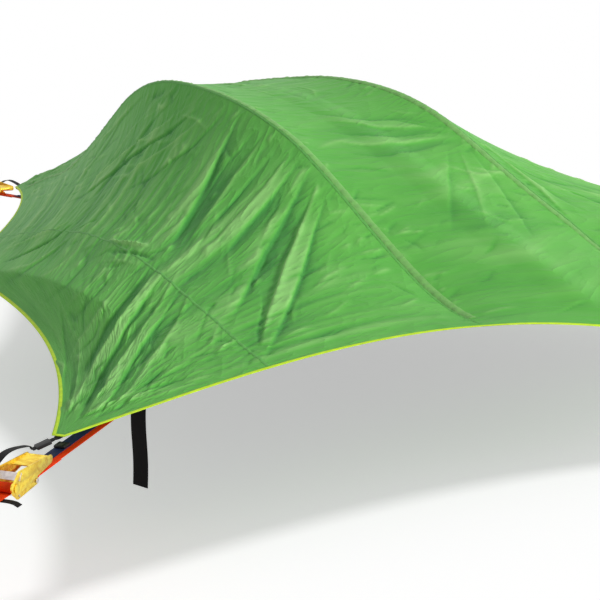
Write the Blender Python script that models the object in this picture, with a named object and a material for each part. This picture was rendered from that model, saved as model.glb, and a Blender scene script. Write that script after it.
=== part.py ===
"""Suspended tree tent: a taut triangular floor, two hooped poles, a mesh canopy and a rain fly,
hung from three corner ratchets with webbing straps. Metres, +Z up, +Y towards the tail corner."""

import math

import bmesh
import bpy
import numpy as np
from mathutils import Vector
from mathutils.bvhtree import BVHTree

# Driving sizes of the whole tent
TIP_SPAN = 4.10
RIDGE_HEIGHT = 0.685
TIP_HALF_WIDTH = 0.020
LOBE_REACH = 0.283
FRONT_LOBE_LIFT = 0.017
SIDE_LOBE_LIFT = 0.029
GAP = 0.0003

# Sag of the fly's hems: inward, upward, and how far the deepest place shifts along the hem
FRONT_HEM_SAG = 0.117
FRONT_HEM_LIFT = 0.070
FRONT_HEM_SHIFT_SHARE = 0.388
SIDE_HEM_SAG = 0.133
SIDE_HEM_LIFT = 0.019
SIDE_HEM_SHIFT_SHARE = -0.159
REAR_HEM_SAG = 0.108
REAR_HEM_LIFT = 0.037
REAR_HEM_SHIFT_SHARE = 0.091

# Fly panels: where the seams meet the hems, as shares of each hem
FLY_THICKNESS = 0.0025
BINDING_WIDTH = 0.010
OUTER_SEAM_FRONT_SHARE = 0.35
POLE_SEAM_FRONT_SHARE = 0.755
OUTER_SEAM_REAR_SHARE = 0.25
POLE_SEAM_REAR_SHARE = 0.885
FLY_ROWS = 22
OUTER_COLUMNS_TO_LOBE = 6
OUTER_COLUMNS_PAST_LOBE = 2
INNER_COLUMNS = 8
CENTRE_COLUMNS_TO_TIP = 3
FOLD_COUNT = 4.5
FOLD_HEIGHT = 0.011

# The ridge over each pole, at even stations from front to rear
RIDGE_FRONT_Y = -1.20
RIDGE_REAR_Y = 1.80
LEFT_RIDGE_SHARES = (0.102, 0.182, 0.320, 0.482, 0.645, 0.788, 0.883, 0.949,
                     0.985, 1.000, 0.980, 0.890, 0.701, 0.489, 0.307, 0.170)
RIGHT_RIDGE_SHARES = (0.102, 0.204, 0.365, 0.518, 0.690, 0.850, 0.950, 0.993,
                      1.000, 0.971, 0.930, 0.870, 0.701, 0.489, 0.307, 0.170)

# Poles
POLE_RADIUS = 0.00475
POLE_TOUCH_FRONT_Y = -0.50
POLE_TOUCH_REAR_Y = 1.46
POLE_FLY_CLEARANCE = 0.0070
POLE_BEND_RISE = 0.012
POLE_SPRING_SHARE = 0.45
POLE_STEPS = 5
POLE_BEVEL_STEPS = 1
POLE_CUP_WALL = 0.0040
POLE_CUP_HEIGHT = 0.024
POLE_CUP_BORE_DEPTH = 0.019
POLE_EDGE_INSET = 0.026
CUP_SIDES = 20

# Floor
FLOOR_CORNER_INSET = 0.300
FLOOR_UNDERSIDE_DROP = 0.0360
FLOOR_THICKNESS = 0.0030
FLOOR_EDGE_SAG = 0.085
FLOOR_FRONT_SAG = 0.285
FLOOR_EDGE_STEPS = 10
FLOOR_CORNER_HALF_WIDTH = 0.028
FLOOR_WEB_WIDTH = 0.050
FLOOR_WEB_THICKNESS = 0.0022
EDGE_WEB_WIDTH = 0.025
EDGE_WEB_END_INSET = 0.110
HATCH_RADIUS = 0.350
HATCH_FRAME_WIDTH = 0.040
HATCH_SEAM_GAP = 0.0006
HATCH_SIDE_GAP = 0.0018
HATCH_FLAP_THICKNESS = 0.0020
SLIDER_LENGTH = 0.014
SLIDER_WIDTH = 0.009
SLIDER_HEIGHT = 0.005
SLIDER_RIM_INSET = 0.004
SLIDER_END_INSET = 0.050
SLIDER_PULL_LENGTH = 0.030
SLIDER_PULL_THICKNESS = 0.0016

# Mesh canopy
CANOPY_THICKNESS = 0.0016
CANOPY_EDGE_INSET = 0.056
CANOPY_CORNER_INSET = 0.130
CANOPY_POLE_CLEARANCE = 0.0008
CANOPY_FLY_CLEARANCE = 0.030
CANOPY_ROWS = 14
CANOPY_DOOR_ROWS = 5
CANOPY_OUTER_COLUMNS = 7
CANOPY_CENTRE_COLUMNS = 3
CANOPY_POLE_REAR_SHARE = 0.885

# Webbing and the corner stack, measured outward from the fly's tip
WEB_THICKNESS = 0.0020
STRAP_WIDTH = 0.050
CORNER_STRAP_INNER = -0.450
CORNER_STRAP_BEND = -0.300
CORNER_STRAP_TAIL = 0.030
CORNER_WEB_WIDTH = 0.036
CORNER_WEB_SIDE = -0.0130
CORNER_WEB_INNER = -0.285
CORNER_WEB_OUTER = 0.040
HUB_REACH = 0.305
HUB_DROP = 0.046
TREE_STRAP_STRAIGHT = 0.320
TREE_STRAP_SEWN = 0.090
TREE_LOOP_LENGTH = 0.130
TREE_LOOP_RADIUS = 0.020
WRAP_TURNS = 2.0
WRAP_STEPS = 14

# Ratchet, drawn in its side view around the hub, inward is negative
FRAME_HALF_INNER = 0.0275
PLATE_THICKNESS = 0.0025
SIDE_GAP = 0.0004
GEAR_THICKNESS = 0.0030
GEAR_TEETH = 12
GEAR_OUTER_RADIUS = 0.0205
GEAR_ROOT_RADIUS = 0.0165
MANDREL_RADIUS = 0.0085
MANDREL_SLOT = 0.0030
SPOOL_HEAD_RADIUS = 0.0125
SPOOL_HEAD_LENGTH = 0.0025
FRAME_HUB_RADIUS = 0.0160
FRAME_BOSS_RADIUS = 0.0130
FRAME_END_RADIUS = 0.0110
BOLT_REACH = 0.120
BOLT_DROP = 0.018
BOLT_RADIUS = 0.0040
BOLT_HEAD_RADIUS = 0.0065
BOLT_HEAD_LENGTH = 0.0030
FRAME_WEB_NEAR = 0.050
FRAME_WEB_FAR = 0.100
FRAME_WEB_DROP = 0.0215
HANDLE_HUB_RADIUS = 0.0220
HANDLE_BOSS_RADIUS = 0.0140
HANDLE_END_RADIUS = 0.0120
HANDLE_REACH = 0.190
HANDLE_RISE = 0.020
HANDLE_GRIP_RADIUS = 0.0090
HANDLE_WEB_NEAR = 0.105
HANDLE_WEB_FAR = 0.184
HANDLE_WEB_RISE = 0.0260
PAWL_THICKNESS = 0.0030
PAWL_TIP_CLEARANCE = 0.0006
HANDLE_PAWL_LENGTH = 0.0225
FRAME_PAWL_LENGTH = 0.0185
PAWL_TRAVEL = 0.0050
PAWL_SLOT_CLEARANCE = 0.0004
HANDLE_PAWL_ANGLE = math.radians(130.0)
FRAME_PAWL_ANGLE = math.radians(230.0)
ROUND_STEPS = 18

# Fly tension strap and its ladder-lock buckle
FLY_STRAP_WIDTH = 0.025
FLY_STRAP_SIDE = 0.060
FLY_STRAP_START = -0.060
FLY_STRAP_DROP = 0.0038
FLY_STRAP_BULGE = 0.030
BUCKLE_LENGTH = 0.044
BUCKLE_WIDTH = 0.034
BUCKLE_HEIGHT = 0.0090
BUCKLE_NEAR = 0.010
BUCKLE_FAR = 0.052
BUCKLE_SIDE_SHARE = 0.72
BUCKLE_DROP = 0.0200
STRAP_BAND_CLEARANCE = 0.036
STRAP_BAND_OVERHANG = 0.020

# Hanging strap at the left corner
HANGER_REACH = -0.520
HANGER_LENGTH = 0.278
HANGER_BEND = 0.005
HANGER_DROP = 0.0006
HANGER_END_SLANT = 0.009
HANGER_STEPS = 10

LEFT_ANGLE = math.radians(-150.0)
RIGHT_ANGLE = math.radians(-30.0)
TAIL_ANGLE = math.radians(90.0)
FRONT_ANGLE = math.radians(-90.0)
SIDE_ANGLE = math.radians(150.0)
UP = Vector((0.0, 0.0, 1.0))

TIP_RADIUS = TIP_SPAN / math.sqrt(3.0)
FLOOR_CORNER_RADIUS = TIP_RADIUS - FLOOR_CORNER_INSET
FLOOR_TOP = FLOOR_THICKNESS - FLOOR_UNDERSIDE_DROP
FLOOR_WEB_TOP = -FLOOR_UNDERSIDE_DROP - GAP
FLOOR_WEB_BOTTOM = FLOOR_WEB_TOP - FLOOR_WEB_THICKNESS
FRAME_HALF_OUTER = FRAME_HALF_INNER + PLATE_THICKNESS
GEAR_HALF_INNER = FRAME_HALF_OUTER + SIDE_GAP
GEAR_HALF_OUTER = GEAR_HALF_INNER + GEAR_THICKNESS
HANDLE_HALF_INNER = GEAR_HALF_OUTER + SIDE_GAP
HANDLE_HALF_OUTER = HANDLE_HALF_INNER + PLATE_THICKNESS
SPOOL_HALF_LENGTH = HANDLE_HALF_OUTER + SIDE_GAP + SPOOL_HEAD_LENGTH
PAWL_START = GEAR_OUTER_RADIUS + PAWL_TIP_CLEARANCE
STRAP_BAND_NEAR = HUB_REACH + STRAP_BAND_CLEARANCE


def clear_scene():
    for item in list(bpy.data.objects):
        bpy.data.objects.remove(item, do_unlink=True)


def make_material(name, colour, roughness, metallic=0.0):
    material = bpy.data.materials.new(name)
    material.use_nodes = True
    shader = material.node_tree.nodes["Principled BSDF"]
    shader.inputs["Base Color"].default_value = (*colour, 1.0)
    shader.inputs["Roughness"].default_value = roughness
    shader.inputs["Metallic"].default_value = metallic
    material.diffuse_color = (*colour, 1.0)
    return material


def mesh_from(name, points, faces):
    mesh = bpy.data.meshes.new(name)
    mesh.from_pydata([tuple(p) for p in points], [], faces)
    work = bmesh.new()
    work.from_mesh(mesh)
    bmesh.ops.recalc_face_normals(work, faces=work.faces)
    work.to_mesh(mesh)
    work.free()
    return mesh


def add_object(name, data, material, parent=None, location=(0.0, 0.0, 0.0), smooth=False):
    thing = bpy.data.objects.new(name, data)
    bpy.context.scene.collection.objects.link(thing)
    if parent is not None:
        thing.parent = parent
    thing.location = location
    if not thing.data.materials:
        thing.data.materials.append(material)
    if smooth and thing.type == "MESH":
        thing.data.shade_smooth()
        thing.data.set_sharp_from_angle(angle=math.radians(35.0))
    return thing


def add_empty(name, location, angle=0.0, parent=None):
    empty = bpy.data.objects.new(name, None)
    bpy.context.scene.collection.objects.link(empty)
    empty.location = location
    empty.rotation_euler = (0.0, 0.0, angle)
    if parent is not None:
        empty.parent = parent
    return empty


def combine(base, tool, operation):
    """Join, cut or intersect two solids and keep the result in the first one's mesh."""
    base_object = bpy.data.objects.new("solid_base", base)
    tool_object = bpy.data.objects.new("solid_tool", tool)
    for thing in (base_object, tool_object):
        bpy.context.scene.collection.objects.link(thing)
    step = base_object.modifiers.new("combine", "BOOLEAN")
    step.operation = operation
    step.solver = "EXACT"
    step.object = tool_object
    bpy.context.view_layer.update()
    graph = bpy.context.evaluated_depsgraph_get()
    result = bpy.data.meshes.new_from_object(base_object.evaluated_get(graph), depsgraph=graph)
    result.name = base.name
    for thing in (base_object, tool_object):
        bpy.data.objects.remove(thing, do_unlink=True)
    return result


def extrude_outline(name, outline, low, high, axis="Y"):
    """Extrude a closed outline between two levels; in side view the outline is (x, z)."""
    count = len(outline)
    points = []
    for level in (low, high):
        for first, second in outline:
            points.append((first, level, second) if axis == "Y" else (first, second, level))
    faces = [tuple(range(count)), tuple(range(2 * count - 1, count - 1, -1))]
    for i in range(count):
        j = (i + 1) % count
        faces.append((i, i + count, j + count, j))
    return mesh_from(name, points, faces)


def circle_points(centre, radius, steps, start=0.0, turn=2.0 * math.pi):
    return [(centre[0] + radius * math.cos(start + turn * k / steps),
             centre[1] + radius * math.sin(start + turn * k / steps)) for k in range(steps)]


def hull_of_circles(circles):
    """Convex outline round several circles, as a cut plate has round its bosses."""
    cloud = []
    for centre, radius in circles:
        cloud += circle_points(centre, radius, ROUND_STEPS)
    cloud = sorted(set((round(x, 7), round(z, 7)) for x, z in cloud))

    def half(points):
        chain = []
        for p in points:
            while len(chain) > 1:
                ax, az = chain[-2]
                bx, bz = chain[-1]
                if (bx - ax) * (p[1] - az) - (bz - az) * (p[0] - ax) > 0.0:
                    break
                chain.pop()
            chain.append(p)
        return chain[:-1]

    return half(cloud) + half(list(reversed(cloud)))


def cylinder_y(name, centre, radius, low, high, steps=ROUND_STEPS):
    return extrude_outline(name, circle_points(centre, radius, steps), low, high)


def box_mesh(name, low, high):
    outline = [(low[0], low[2]), (high[0], low[2]), (high[0], high[2]), (low[0], high[2])]
    return extrude_outline(name, outline, low[1], high[1])


def ribbon(name, path, width, thickness, lateral=None, slant=0.0):
    """Flat webbing along a path: a rectangular section whose width lies across the path."""
    path = [Vector(p) for p in path]
    points = []
    last = len(path) - 1
    for i, place in enumerate(path):
        tangent = (path[min(i + 1, last)] - path[max(i - 1, 0)]).normalized()
        side = Vector(lateral) if lateral is not None else UP.cross(tangent).normalized()
        normal = tangent.cross(side).normalized()
        shift = tangent * slant if i == last else Vector()
        for across, along in ((-1, -1), (1, -1), (1, 1), (-1, 1)):
            points.append(place + side * (across * width / 2.0) + normal * (along * thickness / 2.0)
                          + shift * (across / 2.0))
    faces = [(0, 1, 2, 3), tuple(4 * last + k for k in (3, 2, 1, 0))]
    for i in range(last):
        for k in range(4):
            n = (k + 1) % 4
            faces.append((4 * i + k, 4 * i + n, 4 * (i + 1) + n, 4 * (i + 1) + k))
    return mesh_from(name, points, faces)


def smooth_path(controls, steps):
    """Points along a Catmull-Rom curve through the control places."""
    pts = [Vector(c) for c in controls]
    pts = [pts[0] * 2.0 - pts[1]] + pts + [pts[-1] * 2.0 - pts[-2]]
    out = []
    for i in range(1, len(pts) - 2):
        p0, p1, p2, p3 = pts[i - 1:i + 3]
        for k in range(steps):
            t = k / steps
            out.append((p1 * 2.0 + (p2 - p0) * t + (p0 * 2.0 - p1 * 5.0 + p2 * 4.0 - p3) * t ** 2
                        + (p1 * 3.0 - p0 - p2 * 3.0 + p3) * t ** 3) / 2.0)
    out.append(pts[-2])
    return out


def tube(name, points, radius, material, bevel_steps=2, parent=None):
    curve = bpy.data.curves.new(name, "CURVE")
    curve.dimensions = "3D"
    curve.bevel_depth = radius
    curve.bevel_resolution = bevel_steps
    curve.use_fill_caps = True
    spline = curve.splines.new("POLY")
    spline.points.add(len(points) - 1)
    for slot, place in zip(spline.points, points):
        slot.co = (*place, 1.0)
    return add_object(name, curve, material, parent=parent)


# Plan geometry of the fly, the canopy and the floor

def radial(angle, radius, height=0.0):
    return np.array([radius * math.cos(angle), radius * math.sin(angle), height])


def across(angle):
    return np.array([-math.sin(angle), math.cos(angle), 0.0])


def hem(start, end, sag, lift, shift, w):
    """A place on a hem: the straight line, drawn in and lifted by the cloth's tension."""
    line = end - start
    inward = np.array([-line[1], line[0], 0.0]) / np.hypot(line[0], line[1])
    if inward @ (start + end) > 0.0:
        inward = -inward
    bulge = 4.0 * w * (1.0 - w) * (1.0 + shift * (2.0 * w - 1.0))
    return start + line * w + inward * sag * bulge + np.array([0.0, 0.0, lift * bulge])


def ridge_height(y, sign):
    """Height of one ridge, read as a smooth curve through its even stations."""
    shares = LEFT_RIDGE_SHARES if sign < 0.0 else RIGHT_RIDGE_SHARES
    count = len(shares) - 1
    place = (y - RIDGE_FRONT_Y) / (RIDGE_REAR_Y - RIDGE_FRONT_Y) * count
    i = int(min(max(math.floor(place), 0), count - 1))
    t = min(max(place - i, 0.0), 1.0)
    p0, p1, p2, p3 = (shares[min(max(i + k, 0), count)] for k in (-1, 0, 1, 2))
    share = (2.0 * p1 + (p2 - p0) * t + (2.0 * p0 - 5.0 * p1 + 4.0 * p2 - p3) * t ** 2
             + (3.0 * p1 - p0 - 3.0 * p2 + p3) * t ** 3) / 2.0
    return RIDGE_HEIGHT * share


def mirror_columns(columns):
    """Complete a left half, whose last column lies on the middle, with its mirror image."""
    flip = np.array([-1.0, 1.0, 1.0])
    return columns + [p * flip for p in reversed(columns[:-1])]


def fly_columns():
    """Front and rear ends of the fly's columns, from the left tip to the right tip."""
    left = radial(LEFT_ANGLE, TIP_RADIUS)
    tail = radial(TAIL_ANGLE, TIP_RADIUS)
    side = across(LEFT_ANGLE) * TIP_HALF_WIDTH
    front_lobe = radial(FRONT_ANGLE, TIP_RADIUS / 2.0 + LOBE_REACH, FRONT_LOBE_LIFT)
    side_lobe = radial(SIDE_ANGLE, TIP_RADIUS / 2.0 + LOBE_REACH, SIDE_LOBE_LIFT)
    tail_end = tail + across(TAIL_ANGLE) * TIP_HALF_WIDTH

    def front(w):
        return hem(left + side, front_lobe, FRONT_HEM_SAG, FRONT_HEM_LIFT, FRONT_HEM_SHIFT_SHARE, w)

    def rear(w):
        if w <= 1.0:
            return hem(left - side, side_lobe, SIDE_HEM_SAG, SIDE_HEM_LIFT,
                       SIDE_HEM_SHIFT_SHARE, w)
        return hem(side_lobe, tail_end, REAR_HEM_SAG, REAR_HEM_LIFT, REAR_HEM_SHIFT_SHARE, w - 1.0)

    outer = OUTER_COLUMNS_TO_LOBE + OUTER_COLUMNS_PAST_LOBE
    fronts, rears = [], []
    for i in range(outer + 1):
        fronts.append(front(OUTER_SEAM_FRONT_SHARE * i / outer))
        if i <= OUTER_COLUMNS_TO_LOBE:
            rears.append(rear(i / OUTER_COLUMNS_TO_LOBE))
        else:
            past = (i - OUTER_COLUMNS_TO_LOBE) / OUTER_COLUMNS_PAST_LOBE
            rears.append(rear(1.0 + OUTER_SEAM_REAR_SHARE * past))
    for i in range(1, INNER_COLUMNS + 1):
        part = i / INNER_COLUMNS
        fronts.append(front(OUTER_SEAM_FRONT_SHARE
                            + (POLE_SEAM_FRONT_SHARE - OUTER_SEAM_FRONT_SHARE) * part))
        rears.append(rear(1.0 + OUTER_SEAM_REAR_SHARE
                          + (POLE_SEAM_REAR_SHARE - OUTER_SEAM_REAR_SHARE) * part))
    for i in range(1, CENTRE_COLUMNS_TO_TIP + 2):
        fronts.append(front(POLE_SEAM_FRONT_SHARE
                            + (1.0 - POLE_SEAM_FRONT_SHARE) * i / (CENTRE_COLUMNS_TO_TIP + 1)))
        if i <= CENTRE_COLUMNS_TO_TIP:
            rears.append(rear(1.0 + POLE_SEAM_REAR_SHARE
                              + (1.0 - POLE_SEAM_REAR_SHARE) * i / CENTRE_COLUMNS_TO_TIP))
        else:
            rears.append(tail)
    return mirror_columns(fronts), mirror_columns(rears)


def pole_x(y):
    """Distance of either pole from the middle, which is the line of the fly's ridge seam."""
    fronts, rears = fly_columns()
    ridge = OUTER_COLUMNS_TO_LOBE + OUTER_COLUMNS_PAST_LOBE + INNER_COLUMNS
    start, end = fronts[ridge], rears[ridge]
    return -(start[0] + (end[0] - start[0]) * (y - start[1]) / (end[1] - start[1]))


def tension_surface(fronts, rears, rows, ridges, ridge_level, span):
    """Heights of a taut cloth held at its border and over the two ridge columns."""
    columns = len(fronts)
    grid = np.zeros((columns, rows + 1, 3))
    for i in range(columns):
        for j in range(rows + 1):
            grid[i, j] = fronts[i] + (rears[i] - fronts[i]) * j / rows
    known = np.zeros((columns, rows + 1), dtype=bool)
    known[0, :] = known[-1, :] = known[:, 0] = known[:, -1] = True
    for i in ridges:
        for j in range(1, rows):
            y = grid[i, j, 1]
            if span[0] <= y <= span[1]:
                grid[i, j, 2] = ridge_level(y, -1.0 if i == ridges[0] else 1.0)
                known[i, j] = True
    index = -np.ones((columns, rows + 1), dtype=int)
    free = [(i, j) for i in range(columns) for j in range(rows + 1) if not known[i, j]]
    for n, (i, j) in enumerate(free):
        index[i, j] = n
    matrix = np.zeros((len(free), len(free)))
    right = np.zeros(len(free))
    for n, (i, j) in enumerate(free):
        for a, b in ((i - 1, j), (i + 1, j), (i, j - 1), (i, j + 1)):
            step = grid[a, b, :2] - grid[i, j, :2]
            pull = 1.0 / (step @ step)
            matrix[n, n] += pull
            if index[a, b] >= 0:
                matrix[n, index[a, b]] -= pull
            else:
                right[n] += pull * grid[a, b, 2]
    heights = np.linalg.solve(matrix, right)
    for n, (i, j) in enumerate(free):
        grid[i, j, 2] = heights[n]
    return grid


def fold_cloth(grid, ridges):
    """Lay the main folds, which fan from the two side tips and die out at the hems and ridges."""
    columns, rows = grid.shape[0], grid.shape[1]
    first = ridges[0]
    for i in range(1, first):
        for j in range(1, rows - 1):
            reach = i / first
            spread = j / (rows - 1)
            calm = math.sin(math.pi * reach) * math.sin(math.pi * spread) ** 0.5
            lift = FOLD_HEIGHT * calm * math.sin(2.0 * math.pi * FOLD_COUNT * spread)
            grid[i, j, 2] += lift
            grid[columns - 1 - i, j, 2] += lift
    return grid


def grid_normals(grid):
    du = np.zeros_like(grid)
    dv = np.zeros_like(grid)
    du[1:-1] = grid[2:] - grid[:-2]
    du[0] = grid[1] - grid[0]
    du[-1] = grid[-1] - grid[-2]
    dv[:, 1:-1] = grid[:, 2:] - grid[:, :-2]
    dv[:, 0] = grid[:, 1] - grid[:, 0]
    dv[:, -1] = grid[:, -1] - grid[:, -2]
    normal = np.cross(du, dv)
    normal /= np.linalg.norm(normal, axis=2, keepdims=True)
    normal[normal[:, :, 2] < 0.0] *= -1.0
    return normal


def unit(v):
    return v / np.linalg.norm(v)


def inset_border(grid, distance):
    """The same grid with its whole border drawn inward along the cloth by one distance."""
    out = grid.copy()
    columns, rows = grid.shape[0], grid.shape[1]
    for i in range(columns):
        for j in range(rows):
            if 0 < i < columns - 1 and 0 < j < rows - 1:
                continue
            a = min(max(i, 1), columns - 2)
            b = min(max(j, 1), rows - 2)
            out[i, j] = grid[i, j] + unit(grid[a, b] - grid[i, j]) * distance
    return out


def panel_mesh(name, grid, normals, first, last, thickness, low=0, high=None, split_low=False,
               split_high=False):
    """One cloth panel as a thin closed shell between two columns, with its seam gaps."""
    high = grid.shape[1] - 1 if high is None else high
    top = grid[first:last + 1, low:high + 1].copy()
    normal = normals[first:last + 1, low:high + 1]
    half = GAP / 2.0
    if first > 0:
        for j in range(top.shape[1]):
            top[0, j] += unit(top[1, j] - top[0, j]) * half
    if last < grid.shape[0] - 1:
        for j in range(top.shape[1]):
            top[-1, j] += unit(top[-2, j] - top[-1, j]) * half
    if split_low:
        for i in range(top.shape[0]):
            top[i, 0] += unit(top[i, 1] - top[i, 0]) * half
    if split_high:
        for i in range(top.shape[0]):
            top[i, -1] += unit(top[i, -2] - top[i, -1]) * half
    bottom = top - normal * thickness
    nu, nv = top.shape[0], top.shape[1]
    points = list(top.reshape(-1, 3)) + list(bottom.reshape(-1, 3))
    shift = nu * nv
    faces = []
    for i in range(nu - 1):
        for j in range(nv - 1):
            a, b = i * nv + j, (i + 1) * nv + j
            faces.append((a, b, b + 1, a + 1))
            faces.append((a + shift, a + 1 + shift, b + 1 + shift, b + shift))
    ring = [i * nv for i in range(nu)]
    ring += [(nu - 1) * nv + j for j in range(1, nv)]
    ring += [i * nv + nv - 1 for i in range(nu - 2, -1, -1)]
    ring += [j for j in range(nv - 2, 0, -1)]
    for k, a in enumerate(ring):
        b = ring[(k + 1) % len(ring)]
        a, b = min(a, b), max(a, b)
        faces.append((a, a + shift, b + shift))
        faces.append((a, b + shift, b))
    return mesh_from(name, points, faces)


def binding_mesh(name, outer, inner, normals, thickness):
    """The sewn edge binding: a closed strip between the fly's outline and its panels."""
    nu, nv = outer.shape[0], outer.shape[1]
    ring = [(i, 0) for i in range(nu)]
    ring += [(nu - 1, j) for j in range(1, nv)]
    ring += [(i, nv - 1) for i in range(nu - 2, -1, -1)]
    ring += [(0, j) for j in range(nv - 2, 0, -1)]
    points = []
    for i, j in ring:
        drop = normals[i, j] * thickness
        points += [outer[i, j], outer[i, j] - drop, inner[i, j] - drop, inner[i, j]]
    count = len(ring)
    faces = []
    for k in range(count):
        n = (k + 1) % count
        for s in (0, 1, 3):
            t = (s + 1) % 4
            faces.append((4 * k + s, 4 * k + t, 4 * n + t, 4 * n + s))
        a, b = (k, n) if ring[k] < ring[n] else (n, k)
        faces.append((4 * a + 3, 4 * a + 2, 4 * b + 2))
        faces.append((4 * a + 3, 4 * b + 2, 4 * b + 3))
    return mesh_from(name, points, faces)


def build_fly(materials):
    fronts, rears = fly_columns()
    outer = OUTER_COLUMNS_TO_LOBE + OUTER_COLUMNS_PAST_LOBE
    first_ridge = outer + INNER_COLUMNS
    last_ridge = len(fronts) - 1 - first_ridge
    ridges = (first_ridge, last_ridge)
    outline = tension_surface(fronts, rears, FLY_ROWS, ridges, ridge_height,
                              (RIDGE_FRONT_Y, RIDGE_REAR_Y))
    outline = fold_cloth(outline, ridges)
    normals = grid_normals(outline)
    grid = inset_border(outline, BINDING_WIDTH + GAP)
    binding = inset_border(outline, BINDING_WIDTH)
    cuts = (0, outer, first_ridge, last_ridge, len(fronts) - 1 - outer, len(fronts) - 1)
    names = ("fly_panel_left_outer", "fly_panel_left_inner", "fly_panel_centre",
             "fly_panel_right_inner", "fly_panel_right_outer")
    for name, first, last in zip(names, cuts[:-1], cuts[1:]):
        mesh = panel_mesh(name, grid, normals, first, last, FLY_THICKNESS)
        add_object(name, mesh, materials["fly"], smooth=True)
    mesh = binding_mesh("fly_edge_binding", outline, binding, normals, FLY_THICKNESS)
    add_object("fly_edge_binding", mesh, materials["binding"])
    columns, rows = outline.shape[0], outline.shape[1]
    faces = [(i * rows + j, (i + 1) * rows + j, (i + 1) * rows + j + 1, i * rows + j + 1)
             for i in range(columns - 1) for j in range(rows - 1)]
    return BVHTree.FromPolygons([tuple(p) for p in outline.reshape(-1, 3)], faces)


# Poles and canopy

def floor_corner(angle, radius=FLOOR_CORNER_RADIUS, half_width=FLOOR_CORNER_HALF_WIDTH):
    place = radial(angle, radius)
    return place - across(angle) * half_width, place + across(angle) * half_width


def floor_sag(angle):
    """How far tension draws in the edge that starts at a corner; the front one is cut deeper."""
    return FLOOR_FRONT_SAG if angle == LEFT_ANGLE else FLOOR_EDGE_SAG


def floor_outline(inset=0.0):
    """The floor's plan: three blunt corners with edges that tension draws in."""
    radius = FLOOR_CORNER_RADIUS - 2.0 * inset
    outline = []
    for here, there in ((LEFT_ANGLE, RIGHT_ANGLE), (RIGHT_ANGLE, TAIL_ANGLE),
                        (TAIL_ANGLE, LEFT_ANGLE)):
        start = floor_corner(here, radius)[1]
        end = floor_corner(there, radius)[0]
        for k in range(FLOOR_EDGE_STEPS + 1):
            place = hem(start, end, floor_sag(here), 0.0, 0.0, k / FLOOR_EDGE_STEPS)
            outline.append((place[0], place[1]))
    return outline


def front_floor_y(x):
    start = floor_corner(LEFT_ANGLE)[1]
    end = floor_corner(RIGHT_ANGLE)[0]
    w = (x - start[0]) / (end[0] - start[0])
    return hem(start, end, FLOOR_FRONT_SAG, 0.0, 0.0, w)[1]


def rear_floor_place(x):
    """Where the left rear floor edge has the given x."""
    start = floor_corner(TAIL_ANGLE)[1]
    end = floor_corner(LEFT_ANGLE)[0]
    low, high = 0.0, 0.5
    for _ in range(40):
        w = (low + high) / 2.0
        if hem(start, end, FLOOR_EDGE_SAG, 0.0, 0.0, w)[0] > x:
            low = w
        else:
            high = w
    return hem(start, end, FLOOR_EDGE_SAG, 0.0, 0.0, low)[1]


def pole_feet():
    """The y of the front and rear feet, just inside the floor's edge webbing."""
    front = rear = 0.0
    for _ in range(6):
        front = front_floor_y(-pole_x(front)) + POLE_EDGE_INSET
        rear = rear_floor_place(-pole_x(rear)) - 2.0 * POLE_EDGE_INSET
    return front, rear


def ridge_stations():
    """The rows at which the fly lies on the pole."""
    fronts, rears = fly_columns()
    ridge = OUTER_COLUMNS_TO_LOBE + OUTER_COLUMNS_PAST_LOBE + INNER_COLUMNS
    start, end = fronts[ridge][1], rears[ridge][1]
    return [start + (end - start) * j / FLY_ROWS for j in range(1, FLY_ROWS)]


def pole_controls(sign):
    front, rear = pole_feet()
    drop = FLY_THICKNESS + POLE_FLY_CLEARANCE + POLE_RADIUS
    foot = FLOOR_TOP + POLE_CUP_HEIGHT - POLE_CUP_BORE_DEPTH + 2.0 * GAP
    cup_top = foot + POLE_CUP_BORE_DEPTH
    bend = cup_top + POLE_BEND_RISE
    controls = [(front, foot), (front, cup_top), (front, bend)]
    stations = [y for y in ridge_stations() if POLE_TOUCH_FRONT_Y <= y <= POLE_TOUCH_REAR_Y]
    step = stations[1] - stations[0]
    for y in stations:
        slope = (ridge_height(y + step, sign) - ridge_height(y - step, sign)) / (2.0 * step)
        controls.append((y, ridge_height(y, sign) - drop * math.hypot(1.0, slope)))
    controls += [(rear, bend), (rear, cup_top), (rear, foot)]
    return controls


def bent_run(start, leaving, end, arriving):
    """Points of the bow from a foot's straight stretch to the first place under the ridge."""
    length = (end - start).length
    first = leaving.normalized() * length * POLE_SPRING_SHARE
    last = arriving.normalized() * length
    out = []
    for k in range(POLE_STEPS):
        t = k / POLE_STEPS
        out.append(start * (2.0 * t ** 3 - 3.0 * t ** 2 + 1.0) + first * (t ** 3 - 2.0 * t ** 2 + t)
                   + end * (3.0 * t ** 2 - 2.0 * t ** 3) + last * (t ** 3 - t ** 2))
    return out


def pole_centreline(sign):
    """Foot, straight stretch in the cup, the bow that carries the ridge, and the rear foot."""
    controls = [Vector((sign * pole_x(y), y, z)) for y, z in pole_controls(sign)]
    lead = bent_run(controls[2], UP, controls[3], controls[4] - controls[3])
    tail = bent_run(controls[-3], UP, controls[-4], controls[-5] - controls[-4])
    return controls[:2] + lead + controls[3:-3] + tail[::-1] + controls[-2:]


def pole_level(y, sign):
    points = pole_centreline(sign)
    ys = [p.y for p in points[2:-2]]
    zs = [p.z for p in points[2:-2]]
    return float(np.interp(y, ys, zs))


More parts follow.
